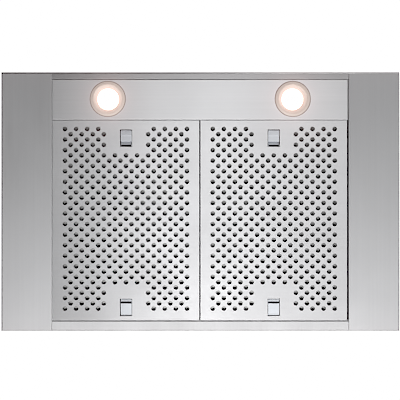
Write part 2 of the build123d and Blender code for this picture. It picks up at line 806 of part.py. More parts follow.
for side, place in LAMP_PLACES.items():
    save(lamp_trim(place), f"lamp_trim_{side_name(side)}")
    save(lamp_lens(place), f"lamp_lens_{side_name(side)}")
    save(lamp_bulb(place), f"lamp_bulb_{side_name(side)}")

HOLDER_LEVEL = BULB_TOP - HOLDER_SOCKET_DEPTH

with BuildPart() as lamp_holders:
    for place in LAMP_PLACES.values():
        with BuildSketch(Plane((*place, HOLDER_LEVEL))):
            Circle(HOLDER_RADIUS)
        extrude(amount=HOLDER_HEIGHT)
        with BuildSketch(Plane((*place, HOLDER_LEVEL))):
            Circle(BULB_NECK_RADIUS + SEAM)
        extrude(amount=HOLDER_SOCKET_DEPTH + SEAM, mode=Mode.SUBTRACT)
save(lamp_holders.part, "lamp_holders")

with BuildPart() as lamp_clips:
    for x, y in LAMP_PLACES.values():
        for side in (-1, 1):
            start = x + side * TUBE_OUTER
            with BuildSketch(Plane.XZ.offset(-y)):
                make_face(
                    bent_strip(
                        [
                            (start, TUBE_TOP),
                            (start, TUBE_TOP - CLIP_RISE / 4),
                            (start + side * CLIP_REACH, PANEL_TOP),
                            (start + side * (CLIP_REACH + CLIP_WIDTH / 2), PANEL_TOP),
                        ],
                        CLIP_SHEET,
                        CLIP_SHEET,
                        Side.LEFT if side > 0 else Side.RIGHT,
                    )
                )
            extrude(amount=CLIP_WIDTH / 2, both=True)
save(lamp_clips.part, "lamp_clips")

# Chimney covers, which stand on the canopy
CHIMNEY_SIDE = CHIMNEY_WIDTH / 2
COVER_BEND = 2 * COVER_SHEET
COVER_SCREW_LEVEL = FRAME_TOP + FIXING_STRIP_HEIGHT / 2
COVER_SCREW_PLACES = [
    (y, COVER_SCREW_LEVEL) for y in (-COVER_SCREW_INSET, COVER_SCREW_INSET - CHIMNEY_DEPTH)
]
UPPER_SIDE = COVER_INNER_SIDE - COVER_SLIDE_GAP
UPPER_FRONT = COVER_INNER_FRONT + COVER_SLIDE_GAP
UPPER_REAR = -COVER_SHEET - COVER_SLIDE_GAP
UPPER_SCREW_PLACE = (
    UPPER_REAR - UPPER_BRACKET_EAR * 2 / 3,
    UPPER_COVER_TOP - UPPER_BRACKET_DOWN - UPPER_BRACKET_HEIGHT / 2,
)


def cover_shell(half_width, front, rear, bottom, height):
    """Three-sided cover, open at the wall but for a narrow return on each side."""
    inner = half_width - COVER_RETURN
    with BuildPart() as shell:
        with BuildSketch(Plane.XY.offset(bottom)):
            make_face(
                bent_strip(
                    [
                        (-inner, rear),
                        (-half_width, rear),
                        (-half_width, front),
                        (half_width, front),
                        (half_width, rear),
                        (inner, rear),
                    ],
                    COVER_SHEET,
                    COVER_BEND,
                    Side.LEFT,
                )
            )
        extrude(amount=height)
    return shell.part


def cross_holes(places):
    """Outlines of the screw holes that go through both sides."""
    with BuildSketch(Plane.YZ) as holes:
        with Locations(*places):
            Circle(SCREW_HOLE_RADIUS)
    return holes.sketch


with BuildPart() as chimney_lower_cover:
    add(cover_shell(CHIMNEY_SIDE, -CHIMNEY_DEPTH, 0, CANOPY_TOP, LOWER_COVER_HEIGHT))
    holes = cross_holes(COVER_SCREW_PLACES)
    extrude(holes, amount=CHIMNEY_SIDE + OVERRUN, both=True, mode=Mode.SUBTRACT)
save(chimney_lower_cover.part, "chimney_lower_cover")

with BuildPart() as chimney_upper_cover:
    add(cover_shell(UPPER_SIDE, UPPER_FRONT, UPPER_REAR, UPPER_COVER_BOTTOM, UPPER_COVER_HEIGHT))
    holes = cross_holes([UPPER_SCREW_PLACE])
    extrude(holes, amount=UPPER_SIDE + OVERRUN, both=True, mode=Mode.SUBTRACT)
    vent_middle = UPPER_COVER_TOP - VENT_DOWN - VENT_HEIGHT / 2
    with BuildSketch(Plane.YZ):
        with Locations(((UPPER_FRONT + UPPER_REAR) / 2, vent_middle)):
            with GridLocations(VENT_PITCH, VENT_HEIGHT, VENT_COUNT, 1):
                SlotOverall(VENT_HEIGHT, VENT_WIDTH, rotation=90)
    extrude(amount=UPPER_SIDE + OVERRUN, both=True, mode=Mode.SUBTRACT)
save(chimney_upper_cover.part, "chimney_upper_cover")

# Top frame: plate that carries the blower, with an upstand that holds the lower cover
with BuildPart() as canopy_top_frame:
    with BuildSketch(Plane.XY.offset(CANOPY_TOP)):
        with Locations((0, FRAME_MIDDLE)):
            plate = Rectangle(2 * FRAME_SIDE, FRAME_REAR - FRAME_FRONT)
        fillet(plate.vertices().group_by(Axis.Y)[0], COVER_BEND)
        with Locations((0, FRAME_MIDDLE)):
            Rectangle(TOP_OPENING_WIDTH, TOP_OPENING_DEPTH, mode=Mode.SUBTRACT)
    extrude(amount=FRAME_SHEET)
    with BuildSketch(Plane.XY.offset(FRAME_TOP)):
        make_face(
            bent_strip(
                [
                    (-FRAME_SIDE, FRAME_REAR),
                    (-FRAME_SIDE, FRAME_FRONT),
                    (FRAME_SIDE, FRAME_FRONT),
                    (FRAME_SIDE, FRAME_REAR),
                ],
                FRAME_SHEET,
                COVER_BEND,
                Side.LEFT,
            )
        )
    extrude(amount=FIXING_STRIP_HEIGHT)
    holes = cross_holes(COVER_SCREW_PLACES)
    extrude(holes, amount=FRAME_SIDE + OVERRUN, both=True, mode=Mode.SUBTRACT)
save(canopy_top_frame.part, "canopy_top_frame")

# Wall bracket that carries the upper cover
BRACKET_SIDE = UPPER_SIDE - COVER_SHEET - FIT
BRACKET_REAR = UPPER_REAR - COVER_SHEET - SEAM
BRACKET_BOTTOM = UPPER_COVER_TOP - UPPER_BRACKET_DOWN - UPPER_BRACKET_HEIGHT

with BuildPart() as chimney_upper_bracket:
    with BuildSketch(Plane.XY.offset(BRACKET_BOTTOM)):
        make_face(
            bent_strip(
                [
                    (-BRACKET_SIDE, BRACKET_REAR - UPPER_BRACKET_EAR),
                    (-BRACKET_SIDE, BRACKET_REAR),
                    (BRACKET_SIDE, BRACKET_REAR),
                    (BRACKET_SIDE, BRACKET_REAR - UPPER_BRACKET_EAR),
                ],
                FRAME_SHEET,
                COVER_BEND,
                Side.RIGHT,
            )
        )
    extrude(amount=UPPER_BRACKET_HEIGHT)
    holes = cross_holes([UPPER_SCREW_PLACE])
    extrude(holes, amount=BRACKET_SIDE + OVERRUN, both=True, mode=Mode.SUBTRACT)
    with BuildSketch(Plane.XZ):
        with Locations((0, BRACKET_BOTTOM + UPPER_BRACKET_HEIGHT / 2)):
            with GridLocations(BRACKET_SIDE, 0, 2, 1):
                Circle(WALL_HOLE_RADIUS)
    extrude(amount=OVERRUN, both=True, mode=Mode.SUBTRACT)
save(chimney_upper_bracket.part, "chimney_upper_bracket")


# Screws
def screw(head_face, direction):
    """Pan-head screw whose head bears on this point, pointing along the direction."""
    with BuildPart() as fastener:
        with BuildSketch(Plane(head_face, z_dir=direction)):
            Circle(SCREW_RADIUS)
        extrude(amount=SCREW_LENGTH)
        with BuildSketch(Plane(head_face, z_dir=direction)):
            Circle(SCREW_HEAD_RADIUS)
        extrude(amount=-SCREW_HEAD_HEIGHT)
    return fastener.part


LIGHT_SCREW_FACE = LIGHT_FRONT - CANOPY_SHEET

with BuildPart() as sheet_screws:
    for side in (-1, 1):
        for y, z in COVER_SCREW_PLACES:
            add(screw((side * CHIMNEY_SIDE, y, z), (-side, 0, 0)))
    for x, z in LIGHT_SCREW_PLACES:
        add(screw((x, LIGHT_SCREW_FACE, z), (0, 1, 0)))
save(sheet_screws.part, "sheet_screws")

with BuildPart() as upper_cover_screws:
    for side in (-1, 1):
        add(screw((side * UPPER_SIDE, *UPPER_SCREW_PLACE), (-side, 0, 0)))
save(upper_cover_screws.part, "upper_cover_screws")

# Blower housing: wrapper and two side plates round a scroll of three quarter turns
SCROLL_OUTLET = SCROLL_START_RADIUS + 3 * SCROLL_STEP
SCROLL_START_Y = -SCROLL_REAR_GAP - SCROLL_SHEET - SCROLL_OUTLET
SCROLL_START_Z = FRAME_TOP + SCROLL_GROUND + SCROLL_SHEET + SCROLL_START_RADIUS + SCROLL_STEP
OUTLET_TOP = SCROLL_START_Z + OUTLET_RISE
WHEEL_Y = SCROLL_START_Y + SCROLL_STEP
WHEEL_Z = SCROLL_START_Z + SCROLL_STEP / 2
SCROLL_HALF = SCROLL_WIDTH / 2


def scroll_outline():
    """Inside of the scroll: three quarter turns of growing radius and a straight outlet."""
    y, z = SCROLL_START_Y, SCROLL_START_Z
    first = SCROLL_START_RADIUS
    second = first + SCROLL_STEP
    third = second + SCROLL_STEP
    with BuildLine() as outline:
        Line((y, OUTLET_TOP), (y, z + first))
        CenterArc((y, z), first, 90, 90)
        CenterArc((y + SCROLL_STEP, z), second, 180, 90)
        CenterArc((y + SCROLL_STEP, z + SCROLL_STEP), third, 270, 90)
        Line((y + SCROLL_STEP + third, z + SCROLL_STEP), (y + SCROLL_STEP + third, OUTLET_TOP))
        Line((y + SCROLL_STEP + third, OUTLET_TOP), (y, OUTLET_TOP))
    return outline.edges()


OUTLET_SIDE = SCROLL_START_Y + 2 * SCROLL_STEP + SCROLL_START_RADIUS + SCROLL_STEP
OUTLET_MIDDLE = (SCROLL_START_Y + OUTLET_SIDE) / 2
OUTLET_DEPTH = OUTLET_SIDE - SCROLL_START_Y

with BuildPart() as blower_wrapper:
    with BuildSketch(Plane.YZ):
        make_face(scroll_outline())
        offset(amount=SCROLL_SHEET, kind=Kind.INTERSECTION)
        with Locations((OUTLET_MIDDLE, OUTLET_TOP + SCROLL_SHEET)):
            Rectangle(
                OUTLET_DEPTH + 4 * SCROLL_SHEET, 2 * SCROLL_SHEET, mode=Mode.SUBTRACT
            )
    extrude(amount=SCROLL_HALF, both=True)
    with BuildSketch(Plane.YZ):
        make_face(scroll_outline())
    extrude(amount=SCROLL_HALF, both=True, mode=Mode.SUBTRACT)
save(blower_wrapper.part, "blower_wrapper")


def blower_side(side):
    """Side plate of the blower, with a turned-in bell mouth round the inlet."""
    with BuildPart() as plate:
        with BuildSketch(Plane.YZ.offset(side * SCROLL_HALF)):
            make_face(scroll_outline())
            offset(amount=SCROLL_SHEET, kind=Kind.INTERSECTION)
            with Locations((OUTLET_MIDDLE, OUTLET_TOP + SCROLL_SHEET)):
                Rectangle(
                    OUTLET_DEPTH + 4 * SCROLL_SHEET, 2 * SCROLL_SHEET, mode=Mode.SUBTRACT
                )
            with Locations((WHEEL_Y, WHEEL_Z)):
                Circle(INLET_RADIUS + INLET_MOUTH_RADIUS, mode=Mode.SUBTRACT)
        extrude(amount=side * SCROLL_SHEET)
        outer_face = side * (SCROLL_HALF + SCROLL_SHEET)
        with BuildSketch(Plane((0, WHEEL_Y, WHEEL_Z), x_dir=(1, 0, 0), z_dir=(0, -1, 0))):
            with BuildLine():
                CenterArc(
                    (outer_face - side * INLET_MOUTH_RADIUS, INLET_RADIUS + INLET_MOUTH_RADIUS),
                    INLET_MOUTH_RADIUS,
                    270,
                    side * 90,
                )
                offset(amount=SCROLL_SHEET, side=Side.LEFT if side > 0 else Side.RIGHT)
            make_face()
        revolve(axis=Axis((0, WHEEL_Y, WHEEL_Z), (1, 0, 0)))
    return plate.part


for side in (-1, 1):
    save(blower_side(side), f"blower_side_{side_name(side)}")

# Wheel: middle disc with its hub, a ring at each end and one row of blades through both halves
WHEEL_PLANE = Plane((0, WHEEL_Y, WHEEL_Z), x_dir=(0, 1, 0), z_dir=(1, 0, 0))
BLADE_INNER_RADIUS = WHEEL_RADIUS - BLADE_DEPTH
WHEEL_HALF = WHEEL_WIDTH / 2

with BuildPart() as impeller:
    with BuildSketch(WHEEL_PLANE):
        with PolarLocations((WHEEL_RADIUS + BLADE_INNER_RADIUS) / 2, BLADE_COUNT):
            Rectangle(BLADE_DEPTH, BLADE_SHEET, rotation=BLADE_LEAN)
    extrude(amount=WHEEL_HALF - WHEEL_RING / 2, both=True)
    with BuildSketch(WHEEL_PLANE):
        Circle(WHEEL_RADIUS)
    extrude(amount=WHEEL_DISC / 2, both=True)
    for side in (-1, 1):
        with BuildSketch(WHEEL_PLANE.offset(side * (WHEEL_HALF - WHEEL_RING / 2))):
            Circle(WHEEL_RADIUS)
            Circle(WHEEL_RADIUS - BLADE_DEPTH / 2, mode=Mode.SUBTRACT)
        extrude(amount=WHEEL_RING / 2, both=True)
    with BuildSketch(WHEEL_PLANE):
        Circle(HUB_RADIUS)
    extrude(amount=-HUB_LENGTH)
    with BuildSketch(WHEEL_PLANE):
        Circle(SHAFT_RADIUS + SHAFT_FIT)
    extrude(amount=HUB_LENGTH + OVERRUN, both=True, mode=Mode.SUBTRACT)
save(impeller.part, "impeller")

# Motor inside the right half of the wheel, on a bracket across the right inlet
MOTOR_START = MOTOR_GAP
MOTOR_END = MOTOR_START + MOTOR_LENGTH
SHAFT_END = MOTOR_START + MOTOR_LENGTH / 2

with BuildPart() as motor_shaft:
    with BuildSketch(WHEEL_PLANE.offset(-HUB_LENGTH)):
        Circle(SHAFT_RADIUS)
    extrude(amount=HUB_LENGTH + SHAFT_END)
save(motor_shaft.part, "motor_shaft")

with BuildPart() as motor_body:
    with BuildSketch(WHEEL_PLANE.offset(MOTOR_START)):
        Circle(MOTOR_RADIUS)
    extrude(amount=MOTOR_LENGTH)
    chamfer(motor_body.edges().filter_by(GeomType.CIRCLE), MOTOR_EDGE)
    with BuildSketch(WHEEL_PLANE):
        Circle(SHAFT_RADIUS + SHAFT_SIDE_GAP)
    extrude(amount=SHAFT_END + SHAFT_SIDE_GAP, mode=Mode.SUBTRACT)
save(motor_body.part, "motor_body")

BRACKET_FACE = SCROLL_HALF + SCROLL_SHEET
BRACKET_RADIUS = INLET_RADIUS + INLET_MOUTH_RADIUS + SEAM

with BuildPart() as motor_bracket:
    with BuildSketch(WHEEL_PLANE.offset(BRACKET_FACE)):
        Circle(BRACKET_RADIUS + BRACKET_RING)
        Circle(BRACKET_RADIUS, mode=Mode.SUBTRACT)
        with PolarLocations(BRACKET_RADIUS / 2, ARM_COUNT, start_angle=90):
            Rectangle(BRACKET_RADIUS + BRACKET_RING, ARM_WIDTH)
    extrude(amount=ARM_SHEET)
    with BuildSketch(WHEEL_PLANE.offset(MOTOR_END)):
        Circle(MOTOR_RADIUS / 2)
    extrude(amount=BRACKET_FACE + ARM_SHEET - MOTOR_END)
save(motor_bracket.part, "motor_bracket")

with BuildPart() as blower_feet:
    for side in (-1, 1):
        with BuildSketch(Plane.XZ.offset(-WHEEL_Y)):
            make_face(
                bent_strip(
                    [
                        (side * FOOT_INNER, FRAME_TOP + FOOT_UPSTAND),
                        (side * FOOT_INNER, FRAME_TOP),
                        (side * FOOT_OUTER, FRAME_TOP),
                    ],
                    FRAME_SHEET,
                    COVER_BEND,
                    Side.LEFT if side > 0 else Side.RIGHT,
                )
            )
        extrude(amount=FOOT_WIDTH / 2, both=True)
save(blower_feet.part, "blower_feet")

# Box round the blower, open below, which shuts its suction side off from the chimney
COLLAR_CENTRE = (0, OUTLET_MIDDLE)
BOX_SIDE = UPPER_SIDE - COVER_SHEET - BLOWER_BOX_GAP
BOX_FRONT = UPPER_FRONT + COVER_SHEET + BLOWER_BOX_GAP
BOX_REAR = UPPER_REAR - COVER_SHEET - BLOWER_BOX_REAR_GAP
BOX_MIDDLE = (BOX_FRONT + BOX_REAR) / 2
BOX_TOP = OUTLET_TOP + BLOWER_BOX_SHEET
BOX_BEND = 2 * BLOWER_BOX_SHEET

with BuildPart() as blower_box:
    with BuildSketch(Plane((0, BOX_MIDDLE, FRAME_TOP))):
        RectangleRounded(2 * BOX_SIDE, BOX_REAR - BOX_FRONT, BOX_BEND)
    extrude(amount=BOX_TOP - FRAME_TOP)
    with BuildSketch(Plane((0, BOX_MIDDLE, FRAME_TOP))):
        RectangleRounded(
            2 * (BOX_SIDE - BLOWER_BOX_SHEET),
            BOX_REAR - BOX_FRONT - 2 * BLOWER_BOX_SHEET,
            BOX_BEND - BLOWER_BOX_SHEET,
        )
    extrude(amount=OUTLET_TOP - FRAME_TOP, mode=Mode.SUBTRACT)
    with BuildSketch(Plane((*COLLAR_CENTRE, OUTLET_TOP))):
        Circle(COLLAR_LEDGE_RADIUS)
    extrude(amount=OVERRUN, both=True, mode=Mode.SUBTRACT)
save(blower_box.part, "blower_box")

# Outlet collar on the box, with a two-leaf damper on a pin
PLATE_TOP = BOX_TOP + COLLAR_PLATE
PIN_LEVEL = PLATE_TOP + FIT + KNUCKLE_RADIUS
COLLAR_INNER = COLLAR_RADIUS - COLLAR_SHEET

with BuildPart() as outlet_collar:
    with BuildSketch(Plane((*COLLAR_CENTRE, BOX_TOP))):
        Rectangle(SCROLL_WIDTH + 2 * SCROLL_SHEET, OUTLET_DEPTH + 2 * SCROLL_SHEET)
        Circle(COLLAR_RADIUS + COLLAR_PLATE_LIP / 2)
        Circle(COLLAR_LEDGE_RADIUS, mode=Mode.SUBTRACT)
    extrude(amount=COLLAR_PLATE)
    with BuildSketch(Plane((*COLLAR_CENTRE, PLATE_TOP))):
        Circle(COLLAR_RADIUS)
        Circle(COLLAR_INNER, mode=Mode.SUBTRACT)
    extrude(amount=COLLAR_HEIGHT)
    with BuildSketch(Plane.YZ):
        with Locations((OUTLET_MIDDLE, PIN_LEVEL)):
            Circle(PIN_RADIUS + SEAM)
    extrude(amount=COLLAR_RADIUS + OVERRUN, both=True, mode=Mode.SUBTRACT)
save(outlet_collar.part, "outlet_collar")

with BuildPart() as damper_pin:
    with BuildSketch(Plane.YZ):
        with Locations((OUTLET_MIDDLE, PIN_LEVEL)):
            Circle(PIN_RADIUS)
    extrude(amount=COLLAR_RADIUS, both=True)
save(damper_pin.part, "damper_pin")

FLAP_RADIUS = COLLAR_INNER - FLAP_GAP
KNUCKLE_SPAN = 2 * (FLAP_RADIUS - 2 * KNUCKLE_RADIUS)
KNUCKLE_LENGTH = KNUCKLE_SPAN / KNUCKLE_COUNT
FLAP_LEVEL = PLATE_TOP + FIT


def damper_flap(side, first):
    """Half disc with every second knuckle of the hinge; the other leaf has the rest."""
    edge = side * (KNUCKLE_RADIUS + KNUCKLE_GAP)
    knuckles = [
        (index + 1 / 2) * KNUCKLE_LENGTH - KNUCKLE_SPAN / 2
        for index in range(first, KNUCKLE_COUNT, 2)
    ]
    with BuildPart() as flap:
        with BuildSketch(Plane((*COLLAR_CENTRE, FLAP_LEVEL))):
            Circle(FLAP_RADIUS)
            with Locations((0, edge - side * FLAP_RADIUS)):
                Rectangle(3 * FLAP_RADIUS, 2 * FLAP_RADIUS, mode=Mode.SUBTRACT)
            with Locations(*[(x, edge / 2) for x in knuckles]):
                Rectangle(KNUCKLE_LENGTH - KNUCKLE_GAP, 2 * abs(edge) - KNUCKLE_RADIUS)
        extrude(amount=FLAP_SHEET)
        for x in knuckles:
            with BuildSketch(Plane.YZ.offset(x)):
                with Locations((OUTLET_MIDDLE, PIN_LEVEL)):
                    Circle(KNUCKLE_RADIUS)
            extrude(amount=(KNUCKLE_LENGTH - KNUCKLE_GAP) / 2, both=True)
        with BuildSketch(Plane.YZ):
            with Locations((OUTLET_MIDDLE, PIN_LEVEL)):
                Circle(PIN_RADIUS + SEAM)
        extrude(amount=FLAP_RADIUS, both=True, mode=Mode.SUBTRACT)
    return flap.part


save(damper_flap(-1, 0), "damper_flap_front")
save(damper_flap(1, 1), "damper_flap_rear")

# Terminal box on the blower box, and the motor's capacitor inside it
TERMINAL_X = (FOOT_INNER + BOX_SIDE) / 2
TERMINAL_Y = -TERMINAL_BOX_FROM_WALL - TERMINAL_BOX_DEPTH / 2
TERMINAL_REAR = TERMINAL_Y + TERMINAL_BOX_DEPTH / 2
GLAND_LEVEL = BOX_TOP + TERMINAL_BOX_HEIGHT / 2
CAPACITOR_X = -BOX_SIDE + BLOWER_BOX_SHEET + CAPACITOR_SIDE_GAP + CAPACITOR_RADIUS

with BuildPart() as terminal_box:
    with BuildSketch(Plane((TERMINAL_X, TERMINAL_Y, BOX_TOP))):
        Rectangle(TERMINAL_BOX_WIDTH, TERMINAL_BOX_DEPTH)
    extrude(amount=TERMINAL_BOX_HEIGHT)
    fillet(terminal_box.edges().filter_by(Axis.Z), TERMINAL_BOX_WALL)
    with BuildSketch(Plane((TERMINAL_X, TERMINAL_Y, BOX_TOP))):
        Rectangle(
            TERMINAL_BOX_WIDTH - 2 * TERMINAL_BOX_WALL, TERMINAL_BOX_DEPTH - 2 * TERMINAL_BOX_WALL
        )
    extrude(amount=TERMINAL_BOX_HEIGHT - TERMINAL_BOX_WALL, mode=Mode.SUBTRACT)
    with BuildSketch(Plane.XZ.offset(-TERMINAL_REAR)):
        with Locations((TERMINAL_X, GLAND_LEVEL)):
            Circle(GLAND_RADIUS)
    extrude(amount=GLAND_LENGTH / 2, mode=Mode.SUBTRACT)
save(terminal_box.part, "terminal_box")

with BuildPart() as cable_gland:
    with BuildSketch(Plane.XZ.offset(-TERMINAL_REAR)):
        with Locations((TERMINAL_X, GLAND_LEVEL)):
            Circle(GLAND_RADIUS - SEAM)
    extrude(amount=GLAND_LENGTH / 2)
    with BuildSketch(Plane.XZ.offset(-TERMINAL_REAR)):
        with Locations((TERMINAL_X, GLAND_LEVEL)):
            RegularPolygon(GLAND_NUT_RADIUS, 6)
    extrude(amount=-GLAND_NUT_LENGTH)
    with BuildSketch(Plane.XZ.offset(-TERMINAL_REAR)):
        with Locations((TERMINAL_X, GLAND_LEVEL)):
            Circle(GLAND_BORE_RADIUS)
    extrude(amount=GLAND_LENGTH, both=True, mode=Mode.SUBTRACT)
save(cable_gland.part, "cable_gland")

with BuildPart() as capacitor:
    with BuildSketch(Plane((CAPACITOR_X, -CAPACITOR_FROM_WALL, FRAME_TOP))):
        Circle(CAPACITOR_RADIUS)
    extrude(amount=CAPACITOR_HEIGHT)
    fillet(capacitor.edges().filter_by(GeomType.CIRCLE).sort_by(Axis.Z)[-1], CAPACITOR_CAP)
save(capacitor.part, "capacitor")

# Controls behind the front band
BAND_INNER = FRONT + CANOPY_SHEET
HOUSING_FRONT = BAND_INNER + BUTTON_FLANGE + BUTTON_TRAVEL + 2 * FIT
HOUSING_REAR = HOUSING_FRONT + CONTROL_HOUSING_DEPTH
BOARD_REAR = HOUSING_REAR - CONTROL_HOUSING_WALL
BOARD_FRONT = BOARD_REAR - BOARD_THICKNESS
STEM_END = HOUSING_FRONT - FIT + CONTROL_HOUSING_WALL + BUTTON_STEM_REACH
SWITCH_FRONT = STEM_END + BUTTON_TRAVEL + FIT

with BuildPart() as control_housing:
    with BuildSketch(Plane.XZ.offset(-HOUSING_FRONT)):
        with Locations((0, BUTTON_LEVEL)):
            Rectangle(CONTROL_HOUSING_WIDTH, CONTROL_HOUSING_HEIGHT)
    extrude(amount=-CONTROL_HOUSING_DEPTH)
    with BuildSketch(Plane.XZ.offset(-HOUSING_FRONT - CONTROL_HOUSING_WALL)):
        with Locations((0, BUTTON_LEVEL)):
            Rectangle(
                CONTROL_HOUSING_WIDTH - 2 * CONTROL_HOUSING_WALL,
                CONTROL_HOUSING_HEIGHT - 2 * CONTROL_HOUSING_WALL,
            )
    extrude(amount=-CONTROL_HOUSING_DEPTH, mode=Mode.SUBTRACT)
    for side in (-1, 1):
        ear_middle = side * (CONTROL_HOUSING_WIDTH + CONTROL_EAR) / 2
        with BuildSketch(Plane.XZ.offset(-BAND_INNER)):
            with Locations((ear_middle, BUTTON_LEVEL)):
                Rectangle(CONTROL_EAR, CONTROL_HOUSING_HEIGHT)
        extrude(amount=-(HOUSING_FRONT + CONTROL_HOUSING_WALL - BAND_INNER))
    with BuildSketch(Plane.XZ.offset(-HOUSING_FRONT)):
        with Locations(*[(x, BUTTON_LEVEL) for x in button_places()]):
            Circle(BUTTON_STEM_RADIUS + FIT)
    extrude(amount=CONTROL_HOUSING_WALL, both=True, mode=Mode.SUBTRACT)
save(control_housing.part, "control_housing")

with BuildPart() as control_board:
    with BuildSketch(Plane.XZ.offset(-BOARD_REAR)):
        with Locations((0, BUTTON_LEVEL)):
            Rectangle(
                CONTROL_HOUSING_WIDTH - 2 * (CONTROL_HOUSING_WALL + SEAM),
                CONTROL_HOUSING_HEIGHT - 2 * (CONTROL_HOUSING_WALL + SEAM),
            )
    extrude(amount=BOARD_THICKNESS)
    with BuildSketch(Plane.XZ.offset(-BOARD_FRONT)):
        with Locations(*[(x, BUTTON_LEVEL) for x in button_places()]):
            Rectangle(SWITCH_SIZE, SWITCH_SIZE)
    extrude(amount=BOARD_FRONT - SWITCH_FRONT)
save(control_board.part, "control_board")


def push_button(x):
    """Round push button: cap through the band, flange behind it and a stem to its switch."""
    flange_front = BAND_INNER + FIT
    with BuildPart() as button:
        with BuildSketch(Plane.XZ.offset(-flange_front)):
            with Locations((x, BUTTON_LEVEL)):
                Circle(BUTTON_RADIUS)
        extrude(amount=FIT + CANOPY_SHEET + BUTTON_PROUD)
        fillet(
            button.edges().filter_by(GeomType.CIRCLE).sort_by(Axis.Y)[0], BUTTON_EDGE_FILLET
        )
        with BuildSketch(Plane.XZ.offset(-flange_front)):
            with Locations((x, BUTTON_LEVEL)):
                Circle(BUTTON_FLANGE_RADIUS)
        extrude(amount=-BUTTON_FLANGE)
        with BuildSketch(Plane.XZ.offset(-flange_front)):
            with Locations((x, BUTTON_LEVEL)):
                Circle(BUTTON_STEM_RADIUS)
        extrude(amount=-(STEM_END - flange_front))
    return button.part


for name, x in zip(BUTTON_NAMES, button_places()):
    save(push_button(x), f"button_{name}")
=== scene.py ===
import json
from math import cos, pi, radians, sin, tau

import bpy
import bmesh
from mathutils import Matrix, Vector


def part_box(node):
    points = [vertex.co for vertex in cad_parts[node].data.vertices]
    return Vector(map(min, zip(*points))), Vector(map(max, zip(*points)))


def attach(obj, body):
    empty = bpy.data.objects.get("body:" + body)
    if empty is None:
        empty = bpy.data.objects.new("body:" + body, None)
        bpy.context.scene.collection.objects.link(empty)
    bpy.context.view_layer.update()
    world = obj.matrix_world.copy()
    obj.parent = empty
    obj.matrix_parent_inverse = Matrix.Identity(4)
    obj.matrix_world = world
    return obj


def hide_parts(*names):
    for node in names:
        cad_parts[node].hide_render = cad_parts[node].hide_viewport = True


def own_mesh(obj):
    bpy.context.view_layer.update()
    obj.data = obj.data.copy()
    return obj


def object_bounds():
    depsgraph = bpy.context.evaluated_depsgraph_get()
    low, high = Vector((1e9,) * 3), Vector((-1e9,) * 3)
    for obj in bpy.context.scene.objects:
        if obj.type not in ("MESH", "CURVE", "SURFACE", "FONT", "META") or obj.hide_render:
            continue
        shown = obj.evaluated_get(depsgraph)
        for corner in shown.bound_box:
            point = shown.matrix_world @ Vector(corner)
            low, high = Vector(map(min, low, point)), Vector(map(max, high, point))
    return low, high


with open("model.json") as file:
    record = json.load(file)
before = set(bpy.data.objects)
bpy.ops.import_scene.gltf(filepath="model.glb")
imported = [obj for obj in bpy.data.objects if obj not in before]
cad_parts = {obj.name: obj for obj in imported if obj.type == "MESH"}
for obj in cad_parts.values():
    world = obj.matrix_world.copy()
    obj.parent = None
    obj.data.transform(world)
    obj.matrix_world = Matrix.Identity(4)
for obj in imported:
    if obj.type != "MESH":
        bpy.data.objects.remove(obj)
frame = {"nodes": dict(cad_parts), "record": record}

# Looks of a wall chimney hood, in metres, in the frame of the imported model:
# X right as seen from the front, -Y the front, Z up, the wall at Y = 0.
# Sizes of small pieces are given in millimetres, times MM.

CAD_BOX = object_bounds()
RECORD = frame["record"]
NODES = frame["nodes"]
SIDES = ("left", "right")
ENDS = ("front", "rear")
BUTTONS = ("off", "speed_low", "speed_mid", "speed_high", "light")
MM = 0.001

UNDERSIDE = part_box("bottom_left_panel")[0].z
HOOD_WIDTH = CAD_BOX[1].x - CAD_BOX[0].x
HOOD_DEPTH = 495 * MM
HOOD_MIDDLE = Vector((0, -HOOD_DEPTH / 2, UNDERSIDE))

# The photograph: 400 pixels wide, the hood's middle a little right of and below its own
PHOTO_WIDTH = 400
HOOD_PIXELS = 398.2
HOOD_MIDDLE_PIXEL = (200.27, 201.55)
METRES_PER_PIXEL = HOOD_WIDTH / HOOD_PIXELS
CAMERA_BELOW = 1.5
SENSOR = 36.0

# Stage
FLOOR_BELOW = 2.5
FLOOR_RADIUS = 30.0
LIGHTS_BELOW = 1.77
LIGHTS_UP = (0, 1, 0.01)


# Camera and lights
def look(direction, up):
    """Rotation that points an object's -Z along the direction, with its Y towards up."""
    z = -Vector(direction).normalized()
    x = Vector(up).cross(z).normalized()
    return Matrix((x, z.cross(x), z)).transposed().to_4x4()


def add_camera():
    """Camera straight below the hood, looking up, with the hood's front at the image's top."""
    data = bpy.data.cameras.new("camera")
    data.sensor_width = SENSOR
    data.lens = SENSOR * CAMERA_BELOW / (PHOTO_WIDTH * METRES_PER_PIXEL)
    camera = bpy.data.objects.new("camera", data)
    middle = PHOTO_WIDTH / 2
    x = (middle - HOOD_MIDDLE_PIXEL[0]) * METRES_PER_PIXEL
    y = HOOD_MIDDLE.y + (middle - HOOD_MIDDLE_PIXEL[1]) * METRES_PER_PIXEL
    place = Matrix.Translation((x, y, UNDERSIDE - CAMERA_BELOW))
    camera.matrix_world = place @ look((0, 0, 1), (0, -1, 0))
    bpy.context.scene.collection.objects.link(camera)
    bpy.context.scene.camera = camera


def add_softbox(name, place, target, size, watts):
    """Soft square light that isn't itself seen by the camera."""
    data = bpy.data.lights.new(name, "AREA")
    data.shape = "SQUARE"
    data.size = size
    data.energy = watts
    light = bpy.data.objects.new(name, data)
    aim = Vector(target) - Vector(place)
    light.matrix_world = Matrix.Translation(place) @ look(aim, LIGHTS_UP)
    light.visible_camera = False
    bpy.context.scene.collection.objects.link(light)


# Meshes
SMOOTH_LIMIT = radians(32)


